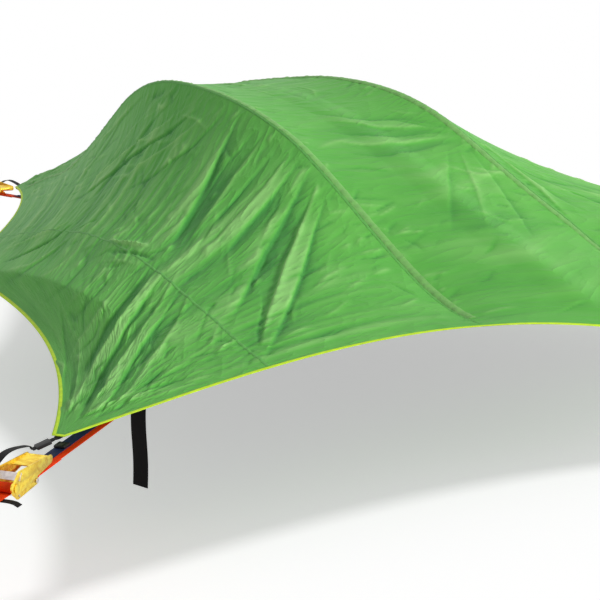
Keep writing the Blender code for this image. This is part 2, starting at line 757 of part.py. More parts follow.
def build_poles(materials):
    front, rear = pole_feet()
    outline = circle_points((0.0, 0.0), POLE_RADIUS + GAP + POLE_CUP_WALL, CUP_SIDES)
    bore = circle_points((0.0, 0.0), POLE_RADIUS + GAP, CUP_SIDES)
    cup = extrude_outline("pole_cup", outline, 0.0, POLE_CUP_HEIGHT, axis="Z")
    hole = extrude_outline("pole_cup_bore", bore, POLE_CUP_HEIGHT - POLE_CUP_BORE_DEPTH,
                           POLE_CUP_HEIGHT + POLE_CUP_WALL, axis="Z")
    cup = combine(cup, hole, "DIFFERENCE")
    for side, sign in (("left", -1.0), ("right", 1.0)):
        tube("pole_" + side, pole_centreline(sign), POLE_RADIUS, materials["pole"],
             POLE_BEVEL_STEPS)
        for end, y in (("front", front), ("rear", rear)):
            add_object("pole_cup_" + side + "_" + end, cup, materials["plastic"],
                       location=(sign * pole_x(y), y, FLOOR_TOP + GAP), smooth=True)


def build_canopy(materials, fly_skin):
    radius = FLOOR_CORNER_RADIUS - CANOPY_CORNER_INSET
    left = floor_corner(LEFT_ANGLE, radius)
    tail = floor_corner(TAIL_ANGLE, radius)
    level = np.array([0.0, 0.0, FLOOR_TOP + GAP + CANOPY_THICKNESS])
    start_front = left[1] + level
    end_front = start_front * np.array([-1.0, 1.0, 1.0])
    start_rear = left[0] + level
    end_rear = tail[1] + level
    front_sag = FLOOR_FRONT_SAG + CANOPY_EDGE_INSET / 2.0
    rear_sag = FLOOR_EDGE_SAG + CANOPY_EDGE_INSET / 2.0

    def front(w):
        return hem(start_front, end_front, front_sag, 0.0, 0.0, w)

    def rear(w):
        return hem(start_rear, end_rear, rear_sag, 0.0, 0.0, w)

    pole_front_w = (start_front[0] + pole_x(start_front[1])) / (2.0 * start_front[0])
    fronts, rears = [], []
    for i in range(CANOPY_OUTER_COLUMNS + 1):
        part = i / CANOPY_OUTER_COLUMNS
        fronts.append(front(pole_front_w * part))
        rears.append(rear(CANOPY_POLE_REAR_SHARE * part))
    for i in range(1, CANOPY_CENTRE_COLUMNS + 2):
        part = i / (CANOPY_CENTRE_COLUMNS + 1)
        fronts.append(front(pole_front_w + (0.5 - pole_front_w) * part))
        if i <= CANOPY_CENTRE_COLUMNS:
            near = i / CANOPY_CENTRE_COLUMNS
            rears.append(rear(CANOPY_POLE_REAR_SHARE + (1.0 - CANOPY_POLE_REAR_SHARE) * near))
        else:
            rears.append(radial(TAIL_ANGLE, radius) + level)
    fronts, rears = mirror_columns(fronts), mirror_columns(rears)
    first = CANOPY_OUTER_COLUMNS
    last = len(fronts) - 1 - first
    drop = POLE_RADIUS + CANOPY_POLE_CLEARANCE
    front_foot, rear_foot = pole_feet()

    def level_at(y, sign):
        rise = pole_level(y + POLE_RADIUS, sign) - pole_level(y - POLE_RADIUS, sign)
        return pole_level(y, sign) - drop * math.hypot(1.0, rise / (2.0 * POLE_RADIUS))

    grid = tension_surface(fronts, rears, CANOPY_ROWS, (first, last), level_at,
                           (front_foot + POLE_CUP_HEIGHT, rear_foot - POLE_CUP_HEIGHT))
    for i in range(1, len(fronts) - 1):
        if i in (first, last):
            continue
        for j in range(1, CANOPY_ROWS):
            spot = Vector((grid[i, j, 0], grid[i, j, 1], -1.0))
            hit = fly_skin.ray_cast(spot, UP)[0]
            if hit is not None:
                grid[i, j, 2] = min(grid[i, j, 2], hit.z - CANOPY_FLY_CLEARANCE)
    normals = grid_normals(grid)
    normals[:, 0] = normals[:, -1] = np.array([0.0, 0.0, 1.0])
    normals[0, :] = normals[-1, :] = np.array([0.0, 0.0, 1.0])
    for name, a, b in (("canopy_left", 0, first), ("canopy_right", last, len(fronts) - 1)):
        mesh = panel_mesh(name, grid, normals, a, b, CANOPY_THICKNESS)
        add_object(name, mesh, materials["canopy"], smooth=True)
    mesh = panel_mesh("canopy_centre", grid, normals, first, last, CANOPY_THICKNESS,
                      low=CANOPY_DOOR_ROWS, split_low=True)
    add_object("canopy_centre", mesh, materials["canopy"], smooth=True)
    mesh = panel_mesh("canopy_door", grid, normals, first, last, CANOPY_THICKNESS,
                      high=CANOPY_DOOR_ROWS, split_high=True)
    add_object("canopy_door", mesh, materials["canopy"], smooth=True)


# Floor

def triangle(radius):
    return [(radius * math.cos(a), radius * math.sin(a))
            for a in (LEFT_ANGLE, RIGHT_ANGLE, TAIL_ANGLE)]


def strip_outline(angle, near, far, width):
    along = radial(angle, 1.0)
    side = across(angle) * (width / 2.0)
    corners = (along * near - side, along * far - side, along * far + side, along * near + side)
    return [(c[0], c[1]) for c in corners]


def build_floor(materials):
    sheet = extrude_outline("floor_panel", floor_outline(), -FLOOR_UNDERSIDE_DROP, FLOOR_TOP, "Z")
    hole = extrude_outline("hatch_hole", triangle(HATCH_RADIUS),
                           -2.0 * FLOOR_UNDERSIDE_DROP, FLOOR_UNDERSIDE_DROP, "Z")
    add_object("floor_panel", combine(sheet, hole, "DIFFERENCE"), materials["floor"])

    frame_outer = HATCH_RADIUS + 2.0 * HATCH_FRAME_WIDTH
    web = extrude_outline("floor_webbing", triangle(frame_outer), FLOOR_WEB_BOTTOM,
                          FLOOR_WEB_TOP, "Z")
    inner = extrude_outline("hatch_clear", triangle(HATCH_RADIUS), 2.0 * FLOOR_WEB_BOTTOM, 0.0, "Z")
    for angle in (LEFT_ANGLE, RIGHT_ANGLE, TAIL_ANGLE):
        near = frame_outer - 2.0 * FLOOR_WEB_WIDTH
        strip = extrude_outline("floor_strip", strip_outline(angle, near, FLOOR_CORNER_RADIUS,
                                                             FLOOR_WEB_WIDTH),
                                FLOOR_WEB_BOTTOM, FLOOR_WEB_TOP, "Z")
        web = combine(web, strip, "UNION")
    add_object("floor_webbing", combine(web, inner, "DIFFERENCE"), materials["webbing"])

    for name, here, there in (("front", LEFT_ANGLE, RIGHT_ANGLE), ("right", RIGHT_ANGLE, TAIL_ANGLE),
                              ("left", TAIL_ANGLE, LEFT_ANGLE)):
        start = floor_corner(here)[1]
        end = floor_corner(there)[0]
        line = unit(end - start)
        inward = np.array([-line[1], line[0], 0.0])
        end_share = EDGE_WEB_END_INSET / np.linalg.norm(end - start)
        outside, inside = [], []
        for k in range(FLOOR_EDGE_STEPS + 1):
            w = end_share + (1.0 - 2.0 * end_share) * k / FLOOR_EDGE_STEPS
            place = hem(start, end, floor_sag(here), 0.0, 0.0, w)
            outside.append((place[0], place[1]))
            deep = place + inward * EDGE_WEB_WIDTH
            inside.append((deep[0], deep[1]))
        mesh = extrude_outline("floor_edge_webbing_" + name, outside + inside[::-1],
                               FLOOR_WEB_BOTTOM, FLOOR_WEB_TOP, "Z")
        add_object("floor_edge_webbing_" + name, mesh, materials["webbing"])

    hinge_y = triangle(HATCH_RADIUS)[0][1] + HATCH_SEAM_GAP
    hinge = add_empty("hatch_hinge_line", (0.0, hinge_y, FLOOR_TOP))
    corners = triangle(HATCH_RADIUS - 2.0 * HATCH_SIDE_GAP)
    base_y = min(y for x, y in corners)
    flap_outline = [(x, 0.0 if y == base_y else y - hinge_y) for x, y in corners]
    flap = extrude_outline("hatch_flap", flap_outline, -HATCH_FLAP_THICKNESS, 0.0, "Z")
    add_object("hatch_flap", flap, materials["floor"], parent=hinge)

    left = Vector((*triangle(HATCH_RADIUS)[0], 0.0))
    tail = Vector((*triangle(HATCH_RADIUS)[2], 0.0))
    line = (tail - left).normalized()
    outward = Vector((-line.y, line.x, 0.0))
    place = left + line * SLIDER_END_INSET + outward * (SLIDER_WIDTH / 2.0 + SLIDER_RIM_INSET)
    place.z = FLOOR_TOP + GAP
    start = add_empty("hatch_slider_start", place, math.atan2(line.y, line.x))
    body = box_mesh("hatch_zip_slider", (-SLIDER_LENGTH / 2.0, -SLIDER_WIDTH / 2.0, 0.0),
                    (SLIDER_LENGTH / 2.0, SLIDER_WIDTH / 2.0, SLIDER_HEIGHT))
    pull = box_mesh("slider_pull",
                    (SLIDER_LENGTH / 4.0, -SLIDER_WIDTH / 4.0, SLIDER_HEIGHT - SLIDER_PULL_THICKNESS),
                    (SLIDER_PULL_LENGTH, SLIDER_WIDTH / 4.0, SLIDER_HEIGHT + SLIDER_PULL_THICKNESS))
    add_object("hatch_zip_slider", combine(body, pull, "UNION"), materials["plastic"], parent=start)


# Corner hardware, modelled once and shared by the three corners

def spool_wrap_radius():
    return MANDREL_RADIUS + GAP + WRAP_TURNS * (WEB_THICKNESS + GAP)


def tree_strap_mesh():
    """The tree strap: wound on the spool, then straight out to a sewn loop."""
    inner = MANDREL_RADIUS + GAP + WEB_THICKNESS / 2.0
    outer = spool_wrap_radius() - GAP + WEB_THICKNESS / 2.0
    path = []
    steps = int(WRAP_TURNS * WRAP_STEPS)
    for k in range(steps + 1):
        share = k / steps
        angle = -math.pi / 2.0 + 2.0 * math.pi * WRAP_TURNS * (share - 1.0)
        radius = inner + (outer - inner) * share
        path.append((HUB_REACH + radius * math.cos(angle), 0.0,
                     -HUB_DROP + radius * math.sin(angle)))
    level = -HUB_DROP - outer
    end = HUB_REACH + TREE_STRAP_STRAIGHT
    sewn = end - TREE_STRAP_SEWN
    path.append((sewn, 0.0, level))
    path.append((end, 0.0, level))
    far = end + TREE_LOOP_LENGTH
    loop = [(end + TREE_LOOP_LENGTH / 3.0, 0.0, level - TREE_LOOP_RADIUS / 3.0)]
    middle = level + WEB_THICKNESS / 2.0
    for k in range(9):
        angle = -math.pi / 2.0 + math.pi * k / 8.0
        loop.append((far + TREE_LOOP_RADIUS * math.cos(angle), 0.0,
                     middle + TREE_LOOP_RADIUS * math.sin(angle)))
    top = level + WEB_THICKNESS + GAP
    loop.append((end + TREE_LOOP_LENGTH / 3.0, 0.0, top + TREE_LOOP_RADIUS / 3.0))
    loop.append((end, 0.0, top))
    loop.append((sewn, 0.0, top))
    path += loop
    return ribbon("tree_strap", path, STRAP_WIDTH, WEB_THICKNESS, lateral=(0.0, 1.0, 0.0))


def tree_strap_level():
    return -HUB_DROP - (spool_wrap_radius() - GAP + WEB_THICKNESS / 2.0)


def corner_strap_top_run():
    """Centre line of the strap from under the floor to the top of the frame's bolt."""
    level = FLOOR_WEB_BOTTOM - GAP - WEB_THICKNESS / 2.0
    bolt = (HUB_REACH - BOLT_REACH, -HUB_DROP - BOLT_DROP)
    turn = BOLT_RADIUS + GAP + WEB_THICKNESS / 2.0
    return [(CORNER_STRAP_INNER, level), (CORNER_STRAP_BEND, level), (bolt[0], bolt[1] + turn)]


def corner_strap_mesh():
    run = corner_strap_top_run()
    bolt = (HUB_REACH - BOLT_REACH, -HUB_DROP - BOLT_DROP)
    turn = BOLT_RADIUS + GAP + WEB_THICKNESS / 2.0
    path = [(x, 0.0, z) for x, z in run[:2]]
    slope = (run[2][1] - run[1][1]) / (run[2][0] - run[1][0])
    start = math.pi / 2.0 + math.atan(slope)
    lower = []
    for x in (bolt[0] - 5.0 * turn, CORNER_STRAP_TAIL):
        lower.append((x, 0.0, run[1][1] + slope * (x - run[1][0]) - WEB_THICKNESS - 2.0 * GAP))
    back = (lower[0][0] - bolt[0], lower[0][2] - bolt[1])
    end = math.atan2(back[1], back[0]) + math.acos(turn / math.hypot(*back)) - 2.0 * math.pi
    for k in range(9):
        angle = start + (end - start) * k / 8.0
        path.append((bolt[0] + turn * math.cos(angle), 0.0, bolt[1] + turn * math.sin(angle)))
    path += lower
    return ribbon("corner_strap", path, STRAP_WIDTH, WEB_THICKNESS, lateral=(0.0, 1.0, 0.0))


def corner_web_mesh():
    run = corner_strap_top_run()
    slope = (run[2][1] - run[1][1]) / (run[2][0] - run[1][0])
    path = []
    for x in (CORNER_WEB_INNER, CORNER_WEB_OUTER):
        level = run[1][1] + slope * (x - run[1][0]) + WEB_THICKNESS + 2.0 * GAP
        path.append((x, CORNER_WEB_SIDE, level))
    return ribbon("corner_webbing", path, CORNER_WEB_WIDTH, WEB_THICKNESS, lateral=(0.0, 1.0, 0.0))


def pawl_outline(angle, length, grow=0.0, travel=0.0):
    """Side view of a pawl plate that points at the hub, or of the slot it slides in."""
    along = (math.cos(angle), math.sin(angle))
    side = (-along[1], along[0])
    near = PAWL_START - grow
    far = PAWL_START + length + travel + grow
    half = PAWL_THICKNESS / 2.0 + grow
    return [(along[0] * r + side[0] * s, along[1] * r + side[1] * s)
            for r, s in ((near, -half), (far, -half), (far, half), (near, half))]


def ratchet_frame_mesh():
    boss_reach = PAWL_START + FRAME_PAWL_LENGTH / 2.0 + PAWL_TRAVEL / 4.0
    boss = (boss_reach * math.cos(FRAME_PAWL_ANGLE), boss_reach * math.sin(FRAME_PAWL_ANGLE))
    shape = hull_of_circles([((0.0, 0.0), FRAME_HUB_RADIUS),
                             (boss, FRAME_BOSS_RADIUS),
                             ((-BOLT_REACH, -BOLT_DROP), FRAME_END_RADIUS)])
    block = extrude_outline("ratchet_frame", shape, -FRAME_HALF_OUTER, FRAME_HALF_OUTER)
    reach = BOLT_REACH + HANDLE_REACH
    above = box_mesh("frame_clear_above", (-reach, -FRAME_HALF_INNER, -FRAME_WEB_DROP),
                     (reach, FRAME_HALF_INNER, reach))
    below = box_mesh("frame_clear_below", (-reach, -FRAME_HALF_INNER, -reach),
                     (reach, FRAME_HALF_INNER, -FRAME_WEB_DROP - PLATE_THICKNESS))
    near = box_mesh("frame_clear_near", (-FRAME_WEB_NEAR, -FRAME_HALF_INNER, -reach),
                    (reach, FRAME_HALF_INNER, reach))
    far = box_mesh("frame_clear_far", (-reach, -FRAME_HALF_INNER, -reach),
                   (-FRAME_WEB_FAR, FRAME_HALF_INNER, reach))
    hub = cylinder_y("frame_hub_hole", (0.0, 0.0), MANDREL_RADIUS + GAP, -reach, reach)
    bolt = cylinder_y("frame_bolt_hole", (-BOLT_REACH, -BOLT_DROP), BOLT_RADIUS + GAP,
                      -reach, reach, ROUND_STEPS // 2)
    slot = extrude_outline("frame_pawl_slot",
                           pawl_outline(FRAME_PAWL_ANGLE, FRAME_PAWL_LENGTH, PAWL_SLOT_CLEARANCE,
                                        PAWL_TRAVEL), -reach, reach)
    for tool in (above, below, near, far, hub, bolt, slot):
        block = combine(block, tool, "DIFFERENCE")
    return block


def ratchet_handle_mesh():
    boss_reach = PAWL_START + HANDLE_PAWL_LENGTH / 2.0 + PAWL_TRAVEL / 4.0
    boss = (boss_reach * math.cos(HANDLE_PAWL_ANGLE), boss_reach * math.sin(HANDLE_PAWL_ANGLE))
    boss_radius = HANDLE_BOSS_RADIUS + PAWL_TRAVEL / 4.0
    shape = hull_of_circles([((0.0, 0.0), HANDLE_HUB_RADIUS), (boss, boss_radius),
                             ((-HANDLE_REACH, HANDLE_RISE), HANDLE_END_RADIUS)])
    arms = [extrude_outline("handle_arm", shape, low, high)
            for low, high in ((HANDLE_HALF_INNER, HANDLE_HALF_OUTER),
                              (-HANDLE_HALF_OUTER, -HANDLE_HALF_INNER))]
    reach = BOLT_REACH + HANDLE_REACH
    grip = cylinder_y("handle_grip", (-HANDLE_REACH, HANDLE_RISE), HANDLE_GRIP_RADIUS,
                      -HANDLE_HALF_OUTER + PLATE_THICKNESS / 2.0,
                      HANDLE_HALF_OUTER - PLATE_THICKNESS / 2.0, ROUND_STEPS // 2)
    web = box_mesh("handle_web",
                   (-HANDLE_WEB_FAR, -HANDLE_HALF_OUTER + PLATE_THICKNESS / 2.0,
                    HANDLE_WEB_RISE - PLATE_THICKNESS),
                   (-HANDLE_WEB_NEAR, HANDLE_HALF_OUTER - PLATE_THICKNESS / 2.0, HANDLE_WEB_RISE))
    handle = combine(arms[0], grip, "UNION")
    handle = combine(handle, arms[1], "UNION")
    handle = combine(handle, web, "UNION")
    hub = cylinder_y("handle_hub_hole", (0.0, 0.0), MANDREL_RADIUS + GAP, -reach, reach)
    slot = extrude_outline("handle_pawl_slot",
                           pawl_outline(HANDLE_PAWL_ANGLE, HANDLE_PAWL_LENGTH,
                                        PAWL_SLOT_CLEARANCE, PAWL_TRAVEL), -reach, reach)
    for tool in (hub, slot):
        handle = combine(handle, tool, "DIFFERENCE")
    handle.name = "ratchet_handle"
    return handle


def gear_outline():
    """Saw teeth: a short radial face, then a long slope back to the root."""
    points = []
    pitch = 2.0 * math.pi / GEAR_TEETH
    for k in range(GEAR_TEETH):
        angle = pitch * k
        points.append((GEAR_ROOT_RADIUS * math.cos(angle), GEAR_ROOT_RADIUS * math.sin(angle)))
        points.append((GEAR_OUTER_RADIUS * math.cos(angle + pitch / 8.0),
                       GEAR_OUTER_RADIUS * math.sin(angle + pitch / 8.0)))
    return points


def ratchet_spool_mesh():
    spool = cylinder_y("ratchet_spool", (0.0, 0.0), MANDREL_RADIUS, -SPOOL_HALF_LENGTH,
                       SPOOL_HALF_LENGTH)
    for sign in (1, -1):
        low, high = sorted((sign * GEAR_HALF_INNER, sign * GEAR_HALF_OUTER))
        spool = combine(spool, extrude_outline("gear", gear_outline(), low, high), "UNION")
        low, high = sorted((sign * (SPOOL_HALF_LENGTH - SPOOL_HEAD_LENGTH),
                            sign * (SPOOL_HALF_LENGTH + SIDE_GAP)))
        head = cylinder_y("spool_head", (0.0, 0.0), SPOOL_HEAD_RADIUS, low, high)
        spool = combine(spool, head, "UNION")
    half = STRAP_WIDTH / 2.0 + SIDE_GAP
    slot = box_mesh("spool_slot", (-2.0 * MANDREL_RADIUS, -half, -MANDREL_SLOT / 2.0),
                    (2.0 * MANDREL_RADIUS, half, MANDREL_SLOT / 2.0))
    spool = combine(spool, slot, "DIFFERENCE")
    spool.name = "ratchet_spool"
    return spool


def bolt_mesh():
    bolt = cylinder_y("ratchet_bolt", (0.0, 0.0), BOLT_RADIUS,
                      -FRAME_HALF_OUTER - GAP - BOLT_HEAD_LENGTH,
                      FRAME_HALF_OUTER + GAP + BOLT_HEAD_LENGTH, ROUND_STEPS // 2)
    for sign in (1, -1):
        low, high = sorted((sign * (FRAME_HALF_OUTER + GAP),
                            sign * (FRAME_HALF_OUTER + 2.0 * GAP + BOLT_HEAD_LENGTH)))
        head = cylinder_y("bolt_head", (0.0, 0.0), BOLT_HEAD_RADIUS, low, high, ROUND_STEPS // 2)
        bolt = combine(bolt, head, "UNION")
    bolt.name = "ratchet_bolt"
    return bolt


def buckle_places():
    """Where the fly strap runs straight through its buckle, in plan and height."""
    near = Vector((BUCKLE_NEAR, -FLY_STRAP_SIDE * (1.0 - BUCKLE_SIDE_SHARE) / 2.0,
                   -FLY_STRAP_DROP - (BUCKLE_DROP - FLY_STRAP_DROP) / 4.0))
    far = Vector((BUCKLE_FAR, -FLY_STRAP_SIDE * (1.0 + BUCKLE_SIDE_SHARE) / 2.0, -BUCKLE_DROP
                  - (BUCKLE_DROP - FLY_STRAP_DROP) / 2.0))
    return near, far


def fly_strap_mesh():
    near, far = buckle_places()
    level = tree_strap_level() - WEB_THICKNESS - GAP
    start = Vector((FLY_STRAP_START, 0.0, -FLY_STRAP_DROP))
    tip = Vector((0.0, 0.0, -FLY_STRAP_DROP - GAP))
    band_far = STRAP_BAND_NEAR + FLY_STRAP_WIDTH
    mid = (STRAP_BAND_NEAR + BUCKLE_FAR) / 2.0
    side = -FLY_STRAP_SIDE
    inlet = smooth_path([start, tip, near], 3)[:-1]
    through = [near + (far - near) * (k / 3.0) for k in range(4)]
    crest = far.z + FLY_STRAP_BULGE
    outlet = smooth_path([far, (BUCKLE_FAR + BUCKLE_LENGTH / 2.0, side, (far.z + crest) / 2.0),
                          (mid, side, crest),
                          (STRAP_BAND_NEAR - FLY_STRAP_WIDTH, side, (level * 3.0 + crest) / 4.0),
                          (STRAP_BAND_NEAR, side, level), (band_far, side, level)], 4)[1:]
    strap = ribbon("fly_strap", inlet + through + outlet, FLY_STRAP_WIDTH, WEB_THICKNESS)
    band = box_mesh("strap_band",
                    (STRAP_BAND_NEAR, -FLY_STRAP_SIDE, level - WEB_THICKNESS / 2.0 - GAP),
                    (band_far, STRAP_WIDTH / 2.0 + STRAP_BAND_OVERHANG, level + WEB_THICKNESS / 2.0))
    strap = combine(strap, band, "UNION")
    strap.name = "fly_strap"
    return strap


def buckle_mesh():
    """Ladder-lock buckle: a flat moulded body with a through slot for the webbing."""
    body = box_mesh("fly_buckle", (-BUCKLE_LENGTH / 2.0, -BUCKLE_WIDTH / 2.0, -BUCKLE_HEIGHT / 2.0),
                    (BUCKLE_LENGTH / 2.0, BUCKLE_WIDTH / 2.0, BUCKLE_HEIGHT / 2.0))
    work = bmesh.new()
    work.from_mesh(body)
    bmesh.ops.bevel(work, geom=list(work.edges), offset=BUCKLE_HEIGHT / 4.0, segments=1,
                    affect="EDGES")
    work.to_mesh(body)
    work.free()
    half = FLY_STRAP_WIDTH / 2.0 + SIDE_GAP
    rise = WEB_THICKNESS / 2.0 + SIDE_GAP
    slot = box_mesh("buckle_slot", (-BUCKLE_LENGTH, -half, -rise), (BUCKLE_LENGTH, half, rise))
    body = combine(body, slot, "DIFFERENCE")
    body.name = "fly_buckle"
    return body


def hanger_mesh():
    """A strap end that hangs from the floor webbing, bent near its lower end."""
    path = []
    for k in range(HANGER_STEPS + 1):
        share = k / HANGER_STEPS
        bend = HANGER_BEND * math.sin(2.0 * math.pi * share)
        path.append((bend, 0.0, -HANGER_DROP - HANGER_LENGTH * share))
    return ribbon("hanging_strap", path, STRAP_WIDTH, WEB_THICKNESS, lateral=(0.0, 1.0, 0.0),
                  slant=HANGER_END_SLANT)


def build_corners(materials):
    meshes = {"tree_strap": tree_strap_mesh(), "corner_strap": corner_strap_mesh(),
              "corner_webbing": corner_web_mesh(), "frame": ratchet_frame_mesh(),
              "handle": ratchet_handle_mesh(), "spool": ratchet_spool_mesh(),
              "bolt": bolt_mesh(), "fly_strap": fly_strap_mesh(), "buckle": buckle_mesh()}
    meshes["handle_pawl"] = extrude_outline(
        "handle_pawl", pawl_outline(HANDLE_PAWL_ANGLE, HANDLE_PAWL_LENGTH),
        -HANDLE_HALF_OUTER - PLATE_THICKNESS, HANDLE_HALF_OUTER + PLATE_THICKNESS)
    meshes["frame_pawl"] = extrude_outline(
        "frame_pawl", pawl_outline(FRAME_PAWL_ANGLE, FRAME_PAWL_LENGTH),
        -GEAR_HALF_OUTER, GEAR_HALF_OUTER)
    near, far = buckle_places()
    aim = far - near
    for label, angle in (("left", LEFT_ANGLE), ("right", RIGHT_ANGLE), ("tail", TAIL_ANGLE)):
        tip = radial(angle, TIP_RADIUS)
        corner = add_empty("corner_" + label, tip, angle)
        hub = add_empty("ratchet_hub_" + label, (HUB_REACH, 0.0, -HUB_DROP), parent=corner)
        add_object("tree_strap_" + label, meshes["tree_strap"], materials["strap"], corner)
        add_object("corner_strap_" + label, meshes["corner_strap"], materials["strap"], corner)
        add_object("corner_webbing_" + label, meshes["corner_webbing"], materials["navy"], corner)
        add_object("ratchet_frame_" + label, meshes["frame"], materials["zinc"], hub)
        add_object("ratchet_handle_" + label, meshes["handle"], materials["zinc"], hub)
        add_object("ratchet_spool_" + label, meshes["spool"], materials["zinc"], hub)
        add_object("handle_pawl_" + label, meshes["handle_pawl"], materials["steel"], hub)
        add_object("frame_pawl_" + label, meshes["frame_pawl"], materials["steel"], hub)
        add_object("ratchet_bolt_" + label, meshes["bolt"], materials["steel"], hub,
                   (-BOLT_REACH, 0.0, -BOLT_DROP))
        add_object("fly_strap_" + label, meshes["fly_strap"], materials["webbing"], corner)
        buckle = add_object("fly_buckle_" + label, meshes["buckle"], materials["plastic"], corner,
                            (near + far) / 2.0)
        buckle.rotation_euler = aim.to_track_quat("X", "Z").to_euler()
        if label == "left":
            pivot = add_empty("hanger_pivot", (HANGER_REACH, 0.0, FLOOR_WEB_BOTTOM - GAP),
                              parent=corner)
            add_object("hanging_strap", hanger_mesh(), materials["webbing"], pivot)


def main():
    clear_scene()
    materials = {
        "fly": make_material("fly_polyester_green", (0.15, 0.44, 0.09), 0.55),
        "binding": make_material("binding_neon_yellow", (0.72, 1.0, 0.02), 0.60),
        "canopy": make_material("insect_mesh", (0.06, 0.06, 0.065), 0.80),
        "floor": make_material("floor_fabric_grey", (0.10, 0.11, 0.12), 0.75),
        "webbing": make_material("webbing_black", (0.012, 0.012, 0.014), 0.70),
        "navy": make_material("webbing_navy", (0.016, 0.020, 0.060), 0.70),
        "strap": make_material("webbing_orange", (0.85, 0.10, 0.01), 0.60),
        "zinc": make_material("steel_yellow_zinc", (0.80, 0.58, 0.18), 0.35, 1.0),
        "steel": make_material("steel_bright_zinc", (0.62, 0.60, 0.56), 0.35, 1.0),
        "pole": make_material("pole_aluminium", (0.55, 0.56, 0.58), 0.35, 1.0),
        "plastic": make_material("plastic_black", (0.015, 0.015, 0.016), 0.45),
    }
    fly_skin = build_fly(materials)
    build_poles(materials)
    build_canopy(materials, fly_skin)
    build_floor(materials)
    build_corners(materials)


main()
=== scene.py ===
"""Suspended tree tent, dressed: a creased rain fly over two hooped poles, a mesh canopy, a hatch
floor, ratchet straps at three corners, and the studio it is seen in. Metres, as the CAD has them."""

import math
from contextlib import contextmanager
from functools import cache
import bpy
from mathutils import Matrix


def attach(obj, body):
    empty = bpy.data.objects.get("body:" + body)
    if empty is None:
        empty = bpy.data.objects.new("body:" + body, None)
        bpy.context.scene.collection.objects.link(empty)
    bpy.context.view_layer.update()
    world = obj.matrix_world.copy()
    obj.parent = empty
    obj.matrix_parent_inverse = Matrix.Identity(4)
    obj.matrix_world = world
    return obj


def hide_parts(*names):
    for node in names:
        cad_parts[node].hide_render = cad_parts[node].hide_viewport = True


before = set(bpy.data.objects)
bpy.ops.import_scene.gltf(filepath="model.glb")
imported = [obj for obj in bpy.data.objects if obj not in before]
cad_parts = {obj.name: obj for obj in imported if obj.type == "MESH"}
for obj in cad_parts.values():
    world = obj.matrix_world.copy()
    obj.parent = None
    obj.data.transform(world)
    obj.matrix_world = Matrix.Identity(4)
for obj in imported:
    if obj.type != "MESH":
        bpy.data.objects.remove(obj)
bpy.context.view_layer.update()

from types import SimpleNamespace

import bpy
import numpy as np
from bpy.props import FloatProperty, FloatVectorProperty, PointerProperty, StringProperty
from bpy.types import Operator, Panel, PropertyGroup
from mathutils import Matrix, Vector

bl_info = {
    "name": "Suspended Tree Tent",
    "version": (1, 0, 0),
    "blender": (4, 5, 0),
    "location": "View3D > Sidebar > Tree Tent",
    "description": "Builds a suspended tree tent with its fly, straps, ratchets and studio",
    "category": "Add Mesh",
}

# Plan of the fly, as in the CAD: three tips 4.10 m apart, hems drawn in, a lobe in each side.
# Each hem has its sag, its lift and how far the sag lies towards its end.
TIP_RADIUS = 4.10 / math.sqrt(3.0)
TIP_HALF_WIDTH = 0.020
LOBE_RADIUS = TIP_RADIUS / 2.0 + 0.283
FRONT_LOBE_LIFT = 0.017
SIDE_LOBE_LIFT = 0.029
FRONT_HEM = (0.117, 0.070, 0.388)
SIDE_HEM = (0.133, 0.019, -0.159)
REAR_HEM = (0.108, 0.037, 0.091)

# The fly's columns run from the left tip to the right one, and its rows from front to rear.
# The shares say how far along the hems the columns end.
LAST_COLUMN = 40.0
TAIL_COLUMN = 20.0
SEAM_COLUMNS = (0.0, 8.0, 16.0, 24.0, 32.0, 40.0)
RIDGE_COLUMNS = (16, 24)
FLY_SIDES = ((0, 16), (16, 24), (24, 40))
FRONT_SHARES = (0.0, 0.35, 0.755, 1.0)
REAR_STATIONS = (0.0, 6.0, 8.0, 16.0, 19.0)
REAR_SHARES = (0.0, 1.0, 1.25, 1.885, 2.0)
ROWS = 22

# Points of the fine grid across each panel and along it
PANEL_POINTS = (107, 111, 111, 111, 107)
ROW_POINTS = 421
UV_LENGTH = 3.0

# Each ridge's height at even steps of the span, as shares of the highest
RIDGE_HEIGHT = 0.685
RIDGE_SPAN = (-1.20, 1.80)
LEFT_RIDGE = (0.102, 0.182, 0.320, 0.482, 0.645, 0.788, 0.883, 0.949,
              0.985, 1.000, 0.980, 0.890, 0.701, 0.489, 0.307, 0.170)
RIGHT_RIDGE = (0.102, 0.204, 0.365, 0.518, 0.690, 0.850, 0.950, 0.993,
               1.000, 0.971, 0.930, 0.870, 0.701, 0.489, 0.307, 0.170)
CORNER_ANGLES = {"left": -150.0, "right": -30.0, "tail": 90.0}

# Seams: the width of a felled seam, how high a seam tape's edges stand off the fly, and how far its
# underside sinks into it
SEAM_WIDTH = 0.012
TAPE_EDGE = 0.0006
TAPE_SINK = 0.0002

# Corner stack, outward from the fly's tip: webbing, ratchet hub, frame bolt, sewn loop
FLOOR_WEB_BOTTOM = -0.0385
GAP = 0.0003
WEB_THICKNESS = 0.0020
STRAP_WIDTH = 0.050
HUB_REACH = 0.305
HUB_DROP = 0.046
BOLT_REACH = 0.120
BOLT_DROP = 0.018
BOLT_RADIUS = 0.0040
MANDREL_RADIUS = 0.0085
WRAP_TURNS = 2.0
STRAP_STRAIGHT = 0.320
STRAP_SEWN = 0.090
LOOP_LENGTH = 0.130
LOOP_RADIUS = 0.020
FLY_STRAP_WIDTH = 0.025
FLY_STRAP_SIDE = 0.060
FLY_STRAP_DROP = 0.0038
FLY_STRAP_BULGE = 0.030
BUCKLE_NEAR = 0.010
BUCKLE_FAR = 0.052
BUCKLE_DROP = 0.020
BAND_NEAR = 0.341
CORNER_STRAP_START = -0.450
NAVY_SIDE = -0.013
NAVY_START = -0.285
NAVY_LENGTH = 0.325
NAVY_WIDTH = 0.036
STITCH_INSET = 0.006
BEAD_PITCH = 0.0050
KEEPER_PLACE = -0.045
